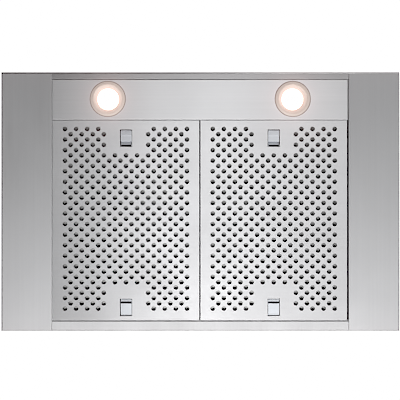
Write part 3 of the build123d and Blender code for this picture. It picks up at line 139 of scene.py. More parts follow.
def mesh_object(name, build):
    """New mesh object whose bmesh the function build fills."""
    mesh = bpy.data.meshes.new(name)
    shape = bmesh.new()
    build(shape)
    bmesh.ops.recalc_face_normals(shape, faces=shape.faces)
    smooth(shape)
    shape.to_mesh(mesh)
    shape.free()
    piece = bpy.data.objects.new(name, mesh)
    bpy.context.scene.collection.objects.link(piece)
    return piece


def smooth(shape):
    """Shades faces smoothly but for edges that turn by more than the limit."""
    for face in shape.faces:
        face.smooth = True
    for edge in shape.edges:
        edge.smooth = len(edge.link_faces) == 2 and edge.calc_face_angle(0) < SMOOTH_LIMIT


def facing(place, direction):
    """Matrix that moves the origin to the place and turns +Z to the direction."""
    turn = Vector((0, 0, 1)).rotation_difference(Vector(direction))
    return Matrix.Translation(place) @ turn.to_matrix().to_4x4()


def revolve(shape, profile, matrix, segments=96, closed=False):
    """Adds the surface that (radius, height) points sweep about the matrix's Z axis."""
    angles = [tau * k / segments for k in range(segments)]
    rings = []
    for radius, height in profile:
        around = [(0, 0)] if radius == 0 else [(radius * cos(a), radius * sin(a)) for a in angles]
        rings.append([shape.verts.new(matrix @ Vector((x, y, height))) for x, y in around])
    following = rings[1:] + rings[:1] if closed else rings[1:]
    for first, second in zip(rings, following):
        for k in range(segments):
            after = (k + 1) % segments
            corners = [first[k % len(first)], first[after % len(first)]]
            corners += [second[after % len(second)], second[k % len(second)]]
            kept = list(dict.fromkeys(corners))
            if len(kept) > 2:
                shape.faces.new(kept)


def arc(centre, radius, start, end, steps=8):
    """Points of an arc in the profile's plane, with its angles in degrees."""
    angles = [radians(start + (end - start) * k / steps) for k in range(steps + 1)]
    return [(centre[0] + radius * cos(a), centre[1] + radius * sin(a)) for a in angles]


def prism(shape, outline, matrix, depth):
    """Adds a closed prism from an outline in the matrix's XY plane, up its Z axis."""
    low = [shape.verts.new(matrix @ Vector((x, y, 0))) for x, y in outline]
    high = [shape.verts.new(matrix @ Vector((x, y, depth))) for x, y in outline]
    shape.faces.new(low[::-1])
    shape.faces.new(high)
    for k in range(len(outline)):
        after = (k + 1) % len(outline)
        shape.faces.new((low[k], low[after], high[after], high[k]))


def stand_in(piece, body, slot, *nodes):
    """Lets a piece stand for CAD nodes: it rides on their body and has their finish."""
    dress(piece, MATERIALS[slot])
    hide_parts(*nodes)
    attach(piece, body)


# Materials
class Nodes:
    """A node tree and short ways to add to it."""

    def __init__(self, tree):
        self.tree = tree

    def node(self, kind, settings=None, **inputs):
        """Adds a node; each input is a value or the output that feeds it."""
        node = self.tree.nodes.new("ShaderNode" + kind)
        for name, value in (settings or {}).items():
            setattr(node, name, value)
        for name, value in inputs.items():
            self.feed(node.inputs[name.replace("_", " ")], value)
        return node

    def feed(self, socket, value):
        """Links an output to the socket, or sets its value."""
        if isinstance(value, bpy.types.NodeSocket):
            self.tree.links.new(value, socket)
        else:
            socket.default_value = value

    def spread(self, factor, low, high, start=0.3, end=0.7, kind="LINEAR"):
        """Number that goes from low to high as the factor goes from start to end."""
        made = self.node("MapRange", {"interpolation_type": kind}, Value=factor)
        for name, value in (
            ("From Min", start),
            ("From Max", end),
            ("To Min", low),
            ("To Max", high),
        ):
            self.feed(made.inputs[name], value)
        return made.outputs[0]

    def maths(self, operation, *values):
        """Result of an operation on numbers."""
        made = self.node("Math", {"operation": operation})
        for socket, value in zip(made.inputs, values):
            self.feed(socket, value)
        return made.outputs[0]


class Shader(Nodes):
    """A material's Principled shader and the nodes that feed it."""

    def __init__(self, name, metallic=0.0, **sockets):
        self.material = bpy.data.materials.new(name)
        self.material.use_nodes = True
        super().__init__(self.material.node_tree)
        self.surface = self.tree.nodes["Principled BSDF"]
        self.surface.inputs["Metallic"].default_value = metallic
        for socket, value in sockets.items():
            self.surface.inputs[socket.replace("_", " ")].default_value = value
        self.place = self.tree.nodes.new("ShaderNodeTexCoord").outputs["Object"]

    def set(self, socket, value):
        """Feeds one of the surface's own sockets."""
        self.feed(self.surface.inputs[socket], value)

    def noise(self, scale, stretch=(1, 1, 1), detail=4.0, roughness=0.6):
        """Noise pattern, finer along an axis where the stretch is greater."""
        mapped = self.node("Mapping", Vector=self.place, Scale=stretch)
        made = self.node(
            "TexNoise",
            Vector=mapped.outputs[0],
            Scale=scale,
            Detail=detail,
            Roughness=roughness,
        )
        return made.outputs["Fac"]

    def blend(self, factor, first, second):
        """Colour that goes from first to second with the factor."""
        made = self.tree.nodes.new("ShaderNodeMix")
        made.data_type = "RGBA"
        for name, value in (("Factor", factor), ("A", first), ("B", second)):
            socket = [s for s in made.inputs if s.name == name and s.enabled][-1]
            if isinstance(value, tuple) and len(value) == 3:
                value = (*value, 1.0)
            self.feed(socket, value)
        return [s for s in made.outputs if s.enabled][0]

    def radius(self, middle):
        """Distance from the upright axis through a place, or through its mirror image in X."""
        across, depth, height = self.node("SeparateXYZ", Vector=self.place).outputs
        away = self.maths("SUBTRACT", self.maths("ABSOLUTE", across), abs(middle.x))
        beside = self.maths("SUBTRACT", depth, middle.y)
        return self.node(
            "VectorMath",
            {"operation": "LENGTH"},
            Vector=self.node("CombineXYZ", X=away, Y=beside).outputs[0],
        ).outputs["Value"]

    def bump(self, height, strength, distance):
        """Feeds the surface's normal from a height pattern."""
        made = self.node("Bump", Height=height, Strength=strength, Distance=distance)
        self.set("Normal", made.outputs[0])


def shade(colour, share):
    """The colour made lighter or darker by a share."""
    return tuple(min(1.0, c * share) for c in colour)


def along(grain, lengthways, across):
    """Noise stretch that is coarse along the grain axis and fine across it."""
    return tuple(lengthways if axis == grain else across for axis in "XYZ")


# Brushed steel: how fine its lines are along the grain and across it, how light or dark they
# make the colour, and how strong they are
BRUSH_LINES = (9.0, 1100.0)
BRUSH_SHADES = (0.90, 1.08)
STREAK_LINES = (2.5, 240.0)
STREAK_SHADE = 1.08
STREAK_STRENGTH = 0.3
BAND_LINES = (1.2, 42.0)
BAND_SHADE = 0.92
BAND_STRENGTH = 0.22


def brushed_steel(name, colour, grain, roughness, anisotropy):
    """Stainless sheet with fine brush lines along the grain axis, and faint smudges."""
    steel = Shader(name, metallic=1.0, Anisotropic=anisotropy)
    brush = steel.noise(1.0, along(grain, *BRUSH_LINES), detail=5.0, roughness=0.7)
    streaks = steel.noise(1.0, along(grain, *STREAK_LINES), detail=3.0)
    bands = steel.noise(1.0, along(grain, *BAND_LINES), detail=2.0)
    smudge = steel.noise(9.0, detail=5.0, roughness=0.62)
    fine = steel.blend(brush, *(shade(colour, share) for share in BRUSH_SHADES))
    streak = steel.spread(streaks, 0.0, STREAK_STRENGTH)
    medium = steel.blend(streak, fine, shade(colour, STREAK_SHADE))
    band = steel.spread(bands, 0.0, BAND_STRENGTH)
    steel.set("Base Color", steel.blend(band, medium, shade(colour, BAND_SHADE)))
    lines_rough = steel.spread(brush, -0.04, 0.05)
    smudge_rough = steel.spread(smudge, roughness - 0.02, roughness + 0.04)
    steel.set("Roughness", steel.maths("ADD", lines_rough, smudge_rough))
    steel.bump(brush, strength=0.05, distance=0.0002)
    x, y, z = (0, 1, 0) if grain == "X" else (1, 0, 0)
    steel.set("Tangent", steel.node("CombineXYZ", X=x, Y=y, Z=z).outputs[0])
    return steel.material


def matt_metal(name, colour, roughness, scale=120.0):
    """Mill-finished or plated metal with a faint mottle."""
    metal = Shader(name, metallic=1.0)
    mottle = metal.noise(scale, detail=5.0)
    worn = metal.noise(14.0, detail=4.0)
    base = metal.blend(mottle, shade(colour, 0.86), shade(colour, 1.08))
    metal.set("Base Color", metal.blend(metal.spread(worn, 0.0, 0.3), base, shade(colour, 0.8)))
    metal.set("Roughness", metal.spread(mottle, roughness - 0.06, roughness + 0.08))
    metal.bump(mottle, strength=0.08, distance=0.0003)
    return metal.material


# Tints of the lamps: the trim's painted glow that stands for their light on it, and the lens's
# middle, rim and own glass
TRIM_PAINTED_GLOW_TINTS = ((1.0, 0.78, 0.66), (1.0, 0.83, 0.72))
LENS_TINTS = ((1.0, 0.97, 0.91), (1.0, 0.99, 0.95))
LENS_RIM_TINT = (0.76, 0.69, 0.61)
LENS_GLASS_TINTS = ((0.93, 0.92, 0.88), (1.0, 0.99, 0.97))


def satin_trim(name, colour, metallic, roughness, glow, middle, shadow_line_radii):
    """Frosted ring with a faint painted glow for its lamp's light, and a painted shadow line
    between two radii.
    """
    # Painted glow: the ring's emission stands for its lamp's light falling on it
    trim = Shader(name, metallic=metallic, Emission_Strength=glow)
    film = trim.noise(40.0, detail=4.0)
    fine = trim.noise(900.0, detail=2.0)
    base = trim.blend(film, shade(colour, 0.94), shade(colour, 1.05))
    # Painted shadow: a darker ring near the outer edge stands for the shade where the trim meets
    # the panel
    rim = trim.spread(trim.radius(middle), 0.0, 1.0, shadow_line_radii[0], shadow_line_radii[1])
    trim.set("Base Color", trim.blend(rim, base, shade(colour, PAINTED_SHADOW_SHADE)))
    trim.set("Emission Color", trim.blend(film, *TRIM_PAINTED_GLOW_TINTS))
    trim.set("Roughness", trim.spread(fine, roughness - 0.05, roughness + 0.05))
    trim.bump(fine, strength=0.06, distance=0.0001)
    return trim.material


def zinc_sheet(name, colour):
    """Galvanised sheet with its spangle of crystals."""
    zinc = Shader(name, metallic=0.9)
    cells = zinc.node("TexVoronoi", Vector=zinc.place, Scale=95.0)
    tone = zinc.node("RGBToBW", Color=cells.outputs["Color"]).outputs[0]
    base = zinc.blend(tone, shade(colour, 0.82), shade(colour, 1.12))
    dust = zinc.noise(30.0, detail=5.0)
    zinc.set("Base Color", zinc.blend(zinc.spread(dust, 0.0, 0.25), base, shade(colour, 0.75)))
    zinc.set("Roughness", zinc.spread(tone, 0.32, 0.52, 0.0, 1.0))
    zinc.bump(tone, strength=0.05, distance=0.0002)
    return zinc.material


def plastic(name, colour, roughness, grain=1400.0, depth=0.12):
    """Moulded plastic with a fine skin and slightly uneven gloss."""
    moulded = Shader(name)
    skin = moulded.noise(grain, detail=3.0)
    cloud = moulded.noise(22.0, detail=4.0)
    lighter = tuple(c + 0.02 for c in shade(colour, 1.1))
    moulded.set("Base Color", moulded.blend(cloud, shade(colour, 0.88), lighter))
    moulded.set("Roughness", moulded.spread(cloud, roughness - 0.05, roughness + 0.08))
    moulded.bump(skin, strength=depth, distance=0.0002)
    return moulded.material


def ceramic(name, colour):
    """Unglazed steatite, a little speckled."""
    body = Shader(name)
    speck = body.noise(700.0, detail=2.0)
    cloud = body.noise(60.0)
    base = body.blend(cloud, shade(colour, 0.92), shade(colour, 1.04))
    dark = shade(colour, 0.72)
    body.set("Base Color", body.blend(body.spread(speck, 0.0, 0.6, 0.62, 0.75), base, dark))
    body.set("Roughness", body.spread(cloud, 0.55, 0.7))
    body.bump(speck, strength=0.1, distance=0.0002)
    return body.material


def circuit_board(name, colour, track_colour):
    """Solder mask with its tracks showing through."""
    board = Shader(name)
    tracks = board.node(
        "TexVoronoi", {"distance": "MANHATTAN"}, Vector=board.place, Scale=210.0
    ).outputs["Distance"]
    copper = board.spread(tracks, 0.0, 1.0, 0.40, 0.46)
    board.set("Base Color", board.blend(copper, colour, track_colour))
    board.set("Roughness", board.spread(copper, 0.42, 0.3, 0.0, 1.0))
    board.bump(copper, strength=0.2, distance=0.0001)
    return board.material


def lamp_glass(name, strength, middle, reach):
    """Frosted lens, lit from behind and warmer towards its rim."""
    glass = Shader(name, Roughness=0.4, Emission_Strength=strength)
    ripple = glass.node("TexVoronoi", Vector=glass.place, Scale=420.0).outputs["Distance"]
    frost = glass.noise(900.0, detail=3.0)
    edge = glass.spread(glass.radius(middle), 0.0, 1.0, reach[0], reach[1], "SMOOTHSTEP")
    centre = glass.blend(frost, *LENS_TINTS)
    glass.set("Emission Color", glass.blend(edge, centre, LENS_RIM_TINT))
    glass.set("Base Color", glass.blend(frost, *LENS_GLASS_TINTS))
    glass.bump(ripple, strength=0.2, distance=0.0003)
    return glass.material


def middle_of(node):
    """Middle of a CAD node's box."""
    low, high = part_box(node)
    return (low + high) / 2


STEEL = (0.62, 0.62, 0.63)

# Lamps: radii and shade of the painted shadow line near the trim's outer edge, and the lens's
# strength and the radii where it warms
PAINTED_SHADOW_RADII = (32.6 * MM, 33.2 * MM)
PAINTED_SHADOW_SHADE = 0.42
LENS_GLOW = 1.2
LENS_FALL = (15.5 * MM, 20.8 * MM)

# Brushed finishes: roughness and anisotropy
POLISHED = (0.30, 0.6)
SATIN = (0.54, 0.8)
MATT = (0.58, 0.3)
TURNED = (0.26, 0.4)

MATERIALS = {
    "canopy_steel": brushed_steel("canopy_steel", STEEL, "X", *POLISHED),
    "cover_steel": brushed_steel("cover_steel", STEEL, "Z", *POLISHED),
    "underside_steel": brushed_steel("underside_steel", shade(STEEL, 0.92), "Y", *MATT),
    "light_panel_steel": brushed_steel("light_panel_steel", STEEL, "X", *SATIN),
    # Front rail: the light panel's steel darkened to 0.64, painted shade that stands in for the
    # rail's dimmer lighting
    "front_rail_steel": brushed_steel("front_rail_steel", shade(STEEL, 0.64), "X", *SATIN),
    "filter_steel": brushed_steel("filter_steel", STEEL, "X", *SATIN),
    "filter_inner_steel": matt_metal("filter_inner_steel", (0.42, 0.42, 0.42), roughness=0.5),
    "latch_steel": brushed_steel("latch_steel", (0.60, 0.62, 0.65), "X", *SATIN),
    "spring_steel": matt_metal("spring_steel", (0.50, 0.50, 0.52), roughness=0.3),
    "screw_steel": matt_metal("screw_steel", (0.55, 0.55, 0.56), roughness=0.32),
    "zinc_sheet": zinc_sheet("zinc_sheet", (0.58, 0.60, 0.62)),
    # Trim: the warm tint of its colour and its faint glow are painted lamp light
    "trim_chrome": satin_trim(
        "trim_chrome",
        (0.53, 0.50, 0.46),
        metallic=0.35,
        roughness=0.55,
        glow=0.06,
        middle=middle_of("lamp_trim_right"),
        # Painted shadow line near the trim's outer edge
        shadow_line_radii=PAINTED_SHADOW_RADII,
    ),
    "bulb_body": matt_metal("bulb_body", (0.72, 0.72, 0.72), roughness=0.35),
    "holder_ceramic": ceramic("holder_ceramic", (0.86, 0.84, 0.80)),
    "wheel_plastic": plastic("wheel_plastic", (0.14, 0.14, 0.15), roughness=0.5),
    "motor_paint": plastic(
        "motor_paint", (0.05, 0.05, 0.055), roughness=0.35, grain=500.0, depth=0.05
    ),
    "collar_plastic": plastic("collar_plastic", (0.07, 0.07, 0.075), roughness=0.5),
    "flap_aluminium": matt_metal("flap_aluminium", (0.70, 0.70, 0.71), roughness=0.38),
    "box_plastic": plastic("box_plastic", (0.06, 0.06, 0.065), roughness=0.5),
    "gland_plastic": plastic("gland_plastic", (0.22, 0.22, 0.23), roughness=0.5),
    "capacitor_plastic": plastic(
        "capacitor_plastic", (0.82, 0.82, 0.78), roughness=0.3, grain=600.0, depth=0.04
    ),
    "board_laminate": circuit_board("board_laminate", (0.05, 0.2, 0.1), (0.16, 0.34, 0.14)),
    "button_metal": brushed_steel("button_metal", (0.68, 0.68, 0.70), "X", *TURNED),
    "lamp_glass": lamp_glass("lamp_glass", LENS_GLOW, middle_of("lamp_lens_right"), LENS_FALL),
}


def dress(piece, material):
    """Gives a piece one material."""
    piece.data.materials.clear()
    piece.data.materials.append(material)


for part in RECORD["subparts"]:
    dress(NODES[part["node"]], MATERIALS[part["material_slot"]])


# Lamp trims: a rounded outer bead, a groove and the cone up to the lens.
# The bead's points are given as shares of the trim's radius and of its drop.
TRIM_SEGMENTS = 128
TRIM_RADIUS = 34.5 * MM
TRIM_DROP = 1.6 * MM
BEAD_SHARES = (
    (1.0, 0.15),
    (0.985, 0.38),
    (0.96, 0.52),
    (0.93, 0.60),
    (0.86, 0.90),
    (0.845, 0.98),
)
CROWN_RADIUS = 28.8 * MM
GROOVE_RADIUS = 28.0 * MM
GROOVE_DROP = 0.5 * MM
CONE_RADIUS = 27.3 * MM
CONE_DROP = 0.9 * MM
LENS_SEAT_RADIUS = 20.6 * MM
LENS_SEAT_UP = 7.6 * MM
CONE_UP = 6.4 * MM
CONE_STEPS = 8
CONE_CURVE = 0.8
TUBE_INNER_RADIUS = 23.2 * MM
TUBE_RADIUS = 24.3 * MM
TUBE_UP = 15.6 * MM
SHOULDER_RADIUS = 31.1 * MM
SHOULDER_UP = 0.55 * MM


def cone_section():
    """Section of the reflector cone, hollowed a little, from its foot to the lens."""
    points = []
    for k in range(CONE_STEPS + 1):
        share = k / CONE_STEPS
        radius = CONE_RADIUS + (LENS_SEAT_RADIUS - CONE_RADIUS) * share
        points.append((radius, -CONE_DROP + (CONE_UP + CONE_DROP) * share**CONE_CURVE))
    return points


def add_lamp_trim(side):
    """Ring that hangs under the panel round one lamp: bead, groove and cone."""
    centre = middle_of(f"lamp_trim_{side}")
    profile = [(TRIM_RADIUS, 0)]
    profile += [(TRIM_RADIUS * across, -TRIM_DROP * down) for across, down in BEAD_SHARES]
    profile += [(CROWN_RADIUS, -TRIM_DROP), (GROOVE_RADIUS, -GROOVE_DROP)]
    profile += cone_section()
    profile += [
        (LENS_SEAT_RADIUS, LENS_SEAT_UP),
        (TUBE_INNER_RADIUS, LENS_SEAT_UP),
        (TUBE_INNER_RADIUS, TUBE_UP),
        (TUBE_RADIUS, TUBE_UP),
        (TUBE_RADIUS, CONE_UP),
        (SHOULDER_RADIUS, SHOULDER_UP),
        (SHOULDER_RADIUS, 0),
    ]
    matrix = Matrix.Translation((centre.x, centre.y, UNDERSIDE))
    ring = mesh_object(
        f"lamp_ring_{side}",
        lambda shape: revolve(shape, profile, matrix, TRIM_SEGMENTS, closed=True),
    )
    stand_in(ring, "root", "trim_chrome", f"lamp_trim_{side}")


for side in SIDES:
    add_lamp_trim(side)

# Latches: a folded strip each, with a slightly folded finger plate and an open groove
LATCH_SHEET = 1.0 * MM
LATCH_FOOT = 35.5 * MM
LATCH_INSET = 0.02 * MM
LATCH_EDGE = 0.15 * MM
LATCH_SHARP_ANGLE = radians(60)
LATCH_RAIL = 0.9 * MM
TONGUE_UP = 5.9 * MM
SEAT_WIDTH = 8 * MM
SEAT_START = 33 * MM
SEAT_THICKNESS = 1.4 * MM
SEAT_LEVELS = (3.6 * MM, 9.0 * MM)

# Lower face of a latch from its plate inwards, in millimetres in and up: the plate's points, and
# the groove's points before its opening and after it
PLATE_START = 0.8
PLATES = {
    "front": ((1.3, 0.5), (11.4, -0.35), (12.4, 0.4), (22.2, -0.35)),
    "rear": ((1.3, 1.0), (11.4, -0.1), (21.4, -0.6), (22.6, -0.85)),
}
GROOVES = {
    "front": (((22.8, 0.0), (22.9, 7.2), (28.9, 0.4)), ((32.4, 0.2), (35.5, 0))),
    "rear": (((24.1, -0.7),), ((27.0, 2.2), (30.4, 0), (31.2, 0), (32.6, 1.2), (35.5, 1.2))),
}


def latch_profile(end, tongue_end):
    """Lower face of a latch from its tongue inwards, and the stretch that is open."""
    before, after = GROOVES[end]
    points = [(tongue_end, TONGUE_UP), (PLATE_START * MM, TONGUE_UP)]
    points += [(x * MM, y * MM) for x, y in (*PLATES[end], *before)]
    opening = len(points) - 1
    points += [(x * MM, y * MM) for x, y in after]
    return points, opening


def thicken(points, thickness):
    """Closed outline of a strip whose lower face follows the points."""
    sides = [
        Vector((y - next_y, next_x - x)).normalized()
        for (x, y), (next_x, next_y) in zip(points, points[1:])
    ]
    upper = []
    for (x, y), before, after in zip(points, sides[:1] + sides, sides + sides[-1:]):
        out = (before + after).normalized()
        lean = out.dot(before)
        upper.append((x + out.x * thickness / lean, y + out.y * thickness / lean))
    return points + upper[::-1]


def folded_strip(shape, points, thickness, columns, opening, matrix):
    """Adds a folded sheet across the columns, left out over one stretch between its side rails."""
    outline = thicken(points, thickness)
    count = len(points)
    lower, upper = [
        [[shape.verts.new(matrix @ Vector((x, y, w))) for w in columns] for x, y in section]
        for section in (outline[:count], outline[count:][::-1])
    ]
    cells = {(k, c) for k in range(count - 1) for c in range(len(columns) - 1)}
    cells -= {(opening, c) for c in range(1, len(columns) - 2)}
    for k, c in sorted(cells):
        corners = ((k, c), (k + 1, c), (k + 1, c + 1), (k, c + 1))
        shape.faces.new([lower[i][j] for i, j in corners])
        shape.faces.new([upper[i][j] for i, j in corners[::-1]])
        beside = ((k, c - 1), (k + 1, c), (k, c + 1), (k - 1, c))
        for index, neighbour in enumerate(beside):
            if neighbour not in cells:
                (i, j), (m, n) = corners[index], corners[(index + 1) % 4]
                shape.faces.new((lower[i][j], lower[m][n], upper[m][n], upper[i][j]))


def add_latch(side, end):
    """Sprung latch of one filter, with softened edges."""
    node = f"latch_slider_{end}_{side}"
    low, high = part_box(node)
    inward = 1 if end == "front" else -1
    origin_y = high.y - LATCH_FOOT if end == "front" else low.y + LATCH_FOOT
    tongue_end = low.y - origin_y if end == "front" else origin_y - high.y
    half = (high.x - low.x) / 2 - LATCH_INSET
    middle = (low.x + high.x) / 2
    matrix = Matrix(((0, 0, 1, middle), (inward, 0, 0, origin_y), (0, 1, 0, low.z), (0, 0, 0, 1)))
    points, opening = latch_profile(end, tongue_end)

    def build(shape):
        columns = (-half, LATCH_RAIL - half, half - LATCH_RAIL, half)
        folded_strip(shape, points, LATCH_SHEET, columns, opening, matrix)
        bmesh.ops.recalc_face_normals(shape, faces=shape.faces)
        sharp = [e for e in shape.edges if e.calc_face_angle(0) > LATCH_SHARP_ANGLE]
        bmesh.ops.bevel(
            shape, geom=sharp, offset=LATCH_EDGE, segments=2, affect="EDGES", profile=0.5
        )
        seat_end = SEAT_START + SEAT_THICKNESS
        corners = ((SEAT_START, 0), (seat_end, 0), (seat_end, 1), (SEAT_START, 1))
        seat = [(x, SEAT_LEVELS[level]) for x, level in corners]
        prism(shape, seat, matrix @ Matrix.Translation((0, 0, -SEAT_WIDTH / 2)), SEAT_WIDTH)

    latch = mesh_object(f"finger_latch_{end}_{side}", build)
    stand_in(latch, f"latch_{end}_{side}", "latch_steel", node)


for side in SIDES:
    for end in ENDS:
        add_latch(side, end)

# Latch springs: coils between the latch and the end of its guide
SPRING_WIRE_RADIUS = 0.3 * MM
SPRING_RADIUS = 2.3 * MM
SPRING_TURNS = 7
FLAT_SHARE = 0.12
STEPS_PER_TURN = 20
WIRE_SIDES = 8


def helix(centre, length):
    """Points of a spring's wire, with an almost flat turn at each end."""
    steps = SPRING_TURNS * STEPS_PER_TURN
    climb = length - 4 * SPRING_WIRE_RADIUS
    points = []
    for k in range(steps + 1):
        share = k / steps
        rise = min(max((share - FLAT_SHARE) / (1 - 2 * FLAT_SHARE), 0), 1)
        angle = tau * SPRING_TURNS * share
        x = centre.x + SPRING_RADIUS * cos(angle)
        y = centre.y + (rise - 0.5) * climb + (share - 0.5) * 2 * SPRING_WIRE_RADIUS
        points.append(Vector((x, y, centre.z + SPRING_RADIUS * sin(angle))))
    return points


def tube(shape, points, radius, sides):
    """Adds a round wire along the points, closed at its ends."""
    angles = [tau * s / sides for s in range(sides)]
    rings = []
    for k, point in enumerate(points):
        before, after = points[max(k - 1, 0)], points[min(k + 1, len(points) - 1)]
        forward = (after - before).normalized()
        if k == 0:
            out = forward.orthogonal().normalized()
        else:
            out = (out - forward * out.dot(forward)).normalized()
        across = forward.cross(out)
        around = [out * cos(a) + across * sin(a) for a in angles]
        rings.append([shape.verts.new(point + radius * way) for way in around])
    for first, second in zip(rings, rings[1:]):
        for s in range(sides):
            after = (s + 1) % sides
            shape.faces.new((first[s], first[after], second[after], second[s]))
    shape.faces.new(rings[0][::-1])
    shape.faces.new(rings[-1])


def add_latch_spring(side, end):
    """Coil spring that stands for its plain solid."""
    node = f"latch_spring_{end}_{side}"
    low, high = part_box(node)
    centre = middle_of(node)
    points = helix(centre, high.y - low.y)
    coil = mesh_object(
        f"latch_coil_{end}_{side}",
        lambda shape: tube(shape, points, SPRING_WIRE_RADIUS, WIRE_SIDES),
    )
    stand_in(coil, f"filter_{side}", "spring_steel", node)
    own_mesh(coil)


for side in SIDES:
    for end in ENDS:
        add_latch_spring(side, end)

# Screws: threaded shanks, and domed heads with a cross recess.
# Each screw of a set is turned further than the one before it.
SCREW_SEGMENTS = 32
SCREW_TURN = 0.7
DOME_STEPS = 8
SCREW_RADIUS = 2 * MM
SCREW_LENGTH = 7 * MM
THREAD_DEPTH = 0.25 * MM
THREAD_PITCH = 0.9 * MM
HEAD_RADIUS = 4 * MM
HEAD_HEIGHT = 2.2 * MM
HEAD_RIM = 0.6 * MM
RECESS_LENGTH = 4.4 * MM
RECESS_WIDTH = 0.9 * MM
RECESS_DEPTH = 1.4 * MM
COVER_SIDE = 150 * MM
COVER_SCREWS = ((-60 * MM, 114 * MM), (-210 * MM, 114 * MM))
LIGHT_SCREW_LEVEL = -115 * MM
LIGHT_SCREWS_ACROSS = (60 * MM, 240 * MM)


def screw_profile():
    """Section of a screw: threaded shank below the head's face, dome above it."""
    profile = [(0, -SCREW_LENGTH), (SCREW_RADIUS / 2, -SCREW_LENGTH + THREAD_PITCH / 2)]
    turns = int((SCREW_LENGTH - THREAD_PITCH) / THREAD_PITCH)
    for k in range(turns):
        level = -SCREW_LENGTH + THREAD_PITCH * (k + 1)
        profile += [
            (SCREW_RADIUS - THREAD_DEPTH, level),
            (SCREW_RADIUS, level + THREAD_PITCH / 2),
        ]
    profile += [(SCREW_RADIUS, 0), (HEAD_RADIUS, 0), (HEAD_RADIUS, HEAD_RIM)]
    for k in range(1, DOME_STEPS + 1):
        angle = pi / 2 * k / DOME_STEPS
        radius = 0 if k == DOME_STEPS else HEAD_RADIUS * cos(angle)
        profile.append((radius, HEAD_RIM + (HEAD_HEIGHT - HEAD_RIM) * sin(angle)))
    return profile


def screw_mesh():
    """Mesh of one screw, pointing along -Z with its head up."""

    def cross(shape):
        half, width = RECESS_LENGTH / 2, RECESS_WIDTH / 2
        arm = [(half, -width), (half, width), (width, width)]
        outline = []
        for _ in range(4):
            outline += arm
            arm = [(-y, x) for x, y in arm]
        bottom = Matrix.Translation((0, 0, HEAD_HEIGHT - RECESS_DEPTH))
        prism(shape, outline, bottom, 2 * RECESS_DEPTH)

    body = mesh_object(
        "screw",
        lambda shape: revolve(shape, screw_profile(), Matrix.Identity(4), SCREW_SEGMENTS),
    )
    cutter = mesh_object("recess", cross)
    cut = body.modifiers.new("cut", "BOOLEAN")
    cut.operation = "DIFFERENCE"
    cut.solver = "EXACT"
    cut.object = cutter
    bpy.context.view_layer.update()
    graph = bpy.context.evaluated_depsgraph_get()
    mesh = bpy.data.meshes.new_from_object(body.evaluated_get(graph))
    for scrap in (body, cutter):
        bpy.data.objects.remove(scrap)
    return mesh


SCREW = screw_mesh()


def add_screws(name, body, node, places):
    """One piece of several screws, each given by its head's face and the way its head points."""

    def build(shape):
        for k, (place, direction) in enumerate(places):
            start = len(shape.verts)
            shape.from_mesh(SCREW)
            shape.verts.ensure_lookup_table()
            turned = facing(place, direction) @ Matrix.Rotation(SCREW_TURN * k, 4, "Z")
            bmesh.ops.transform(shape, matrix=turned, verts=shape.verts[start:])

    stand_in(mesh_object(name, build), body, "screw_steel", node)


LIGHT_SCREW_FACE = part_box("sheet_screws")[0].y + HEAD_HEIGHT
sheet_places = [
    ((x * COVER_SIDE, y, z), (x, 0, 0)) for x in (-1, 1) for y, z in COVER_SCREWS
]
sheet_places += [
    ((x * across, LIGHT_SCREW_FACE, LIGHT_SCREW_LEVEL), (0, -1, 0))
    for x in (-1, 1)
    for across in LIGHT_SCREWS_ACROSS
]
add_screws("sheet_screw_set", "root", "sheet_screws", sheet_places)

upper_middle = middle_of("upper_cover_screws")
UPPER_SCREW_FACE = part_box("upper_cover_screws")[1].x - HEAD_HEIGHT
upper_places = [
    ((x * UPPER_SCREW_FACE, upper_middle.y, upper_middle.z), (x, 0, 0)) for x in (-1, 1)
]
add_screws("upper_screw_set", "upper_cover", "upper_cover_screws", upper_places)

# Push buttons: turned caps with a dished face
CAP_SEGMENTS = 64
DISH_STEPS = 8
CAP_RADIUS = 7 * MM
CAP_EDGE = 0.9 * MM
CAP_RIM = 1.1 * MM
DISH_DEPTH = 0.7 * MM
FLANGE_RADIUS = 8.6 * MM
FLANGE_THICKNESS = 1.2 * MM
STEM_RADIUS = 2.5 * MM
CAP_LENGTH = 4.5 * MM


def add_button(name):
    """One bare cap, with its flange and stem behind the band."""
    low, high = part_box(f"button_{name}")
    depth = high.y - low.y
    dish_radius = CAP_RADIUS - CAP_RIM
    profile = [(0, -DISH_DEPTH)]
    profile += [
        (dish_radius * k / DISH_STEPS, -DISH_DEPTH * (1 - (k / DISH_STEPS) ** 2))
        for k in range(1, DISH_STEPS + 1)
    ]
    profile += arc((CAP_RADIUS - CAP_EDGE, -CAP_EDGE), CAP_EDGE, 90, 0)
    profile += [
        (CAP_RADIUS, -CAP_LENGTH),
        (FLANGE_RADIUS, -CAP_LENGTH),
        (FLANGE_RADIUS, -CAP_LENGTH - FLANGE_THICKNESS),
        (STEM_RADIUS, -CAP_LENGTH - FLANGE_THICKNESS),
        (STEM_RADIUS, -depth),
        (0, -depth),
    ]
    matrix = facing(((low.x + high.x) / 2, low.y, (low.z + high.z) / 2), (0, -1, 0))
    cap = mesh_object(f"cap_{name}", lambda shape: revolve(shape, profile, matrix, CAP_SEGMENTS))
    stand_in(cap, f"button_{name}", "button_metal", f"button_{name}")


for name in BUTTONS:
    add_button(name)

# Blower wheel: curved blades between two rings, on a disc with a hub
WHEEL_RADIUS = 84 * MM
BLADE_INNER_RADIUS = 71.6 * MM
BLADE_THICKNESS = 0.9 * MM
BLADE_COUNT = 36
BLADE_SWEEP = radians(9)
BLADE_STEPS = 6
BLADE_INSET = MM / 2
RING_INNER_RADIUS = 77.5 * MM
RING_WIDTH = 2 * MM
DISC_RADIUS = WHEEL_RADIUS - MM
DISC_HALF = 0.8 * MM
HUB_RADIUS = 13 * MM
HUB_CHAMFER = 3 * MM
HUB_LENGTH = 20 * MM
HUB_BORE = 4.05 * MM


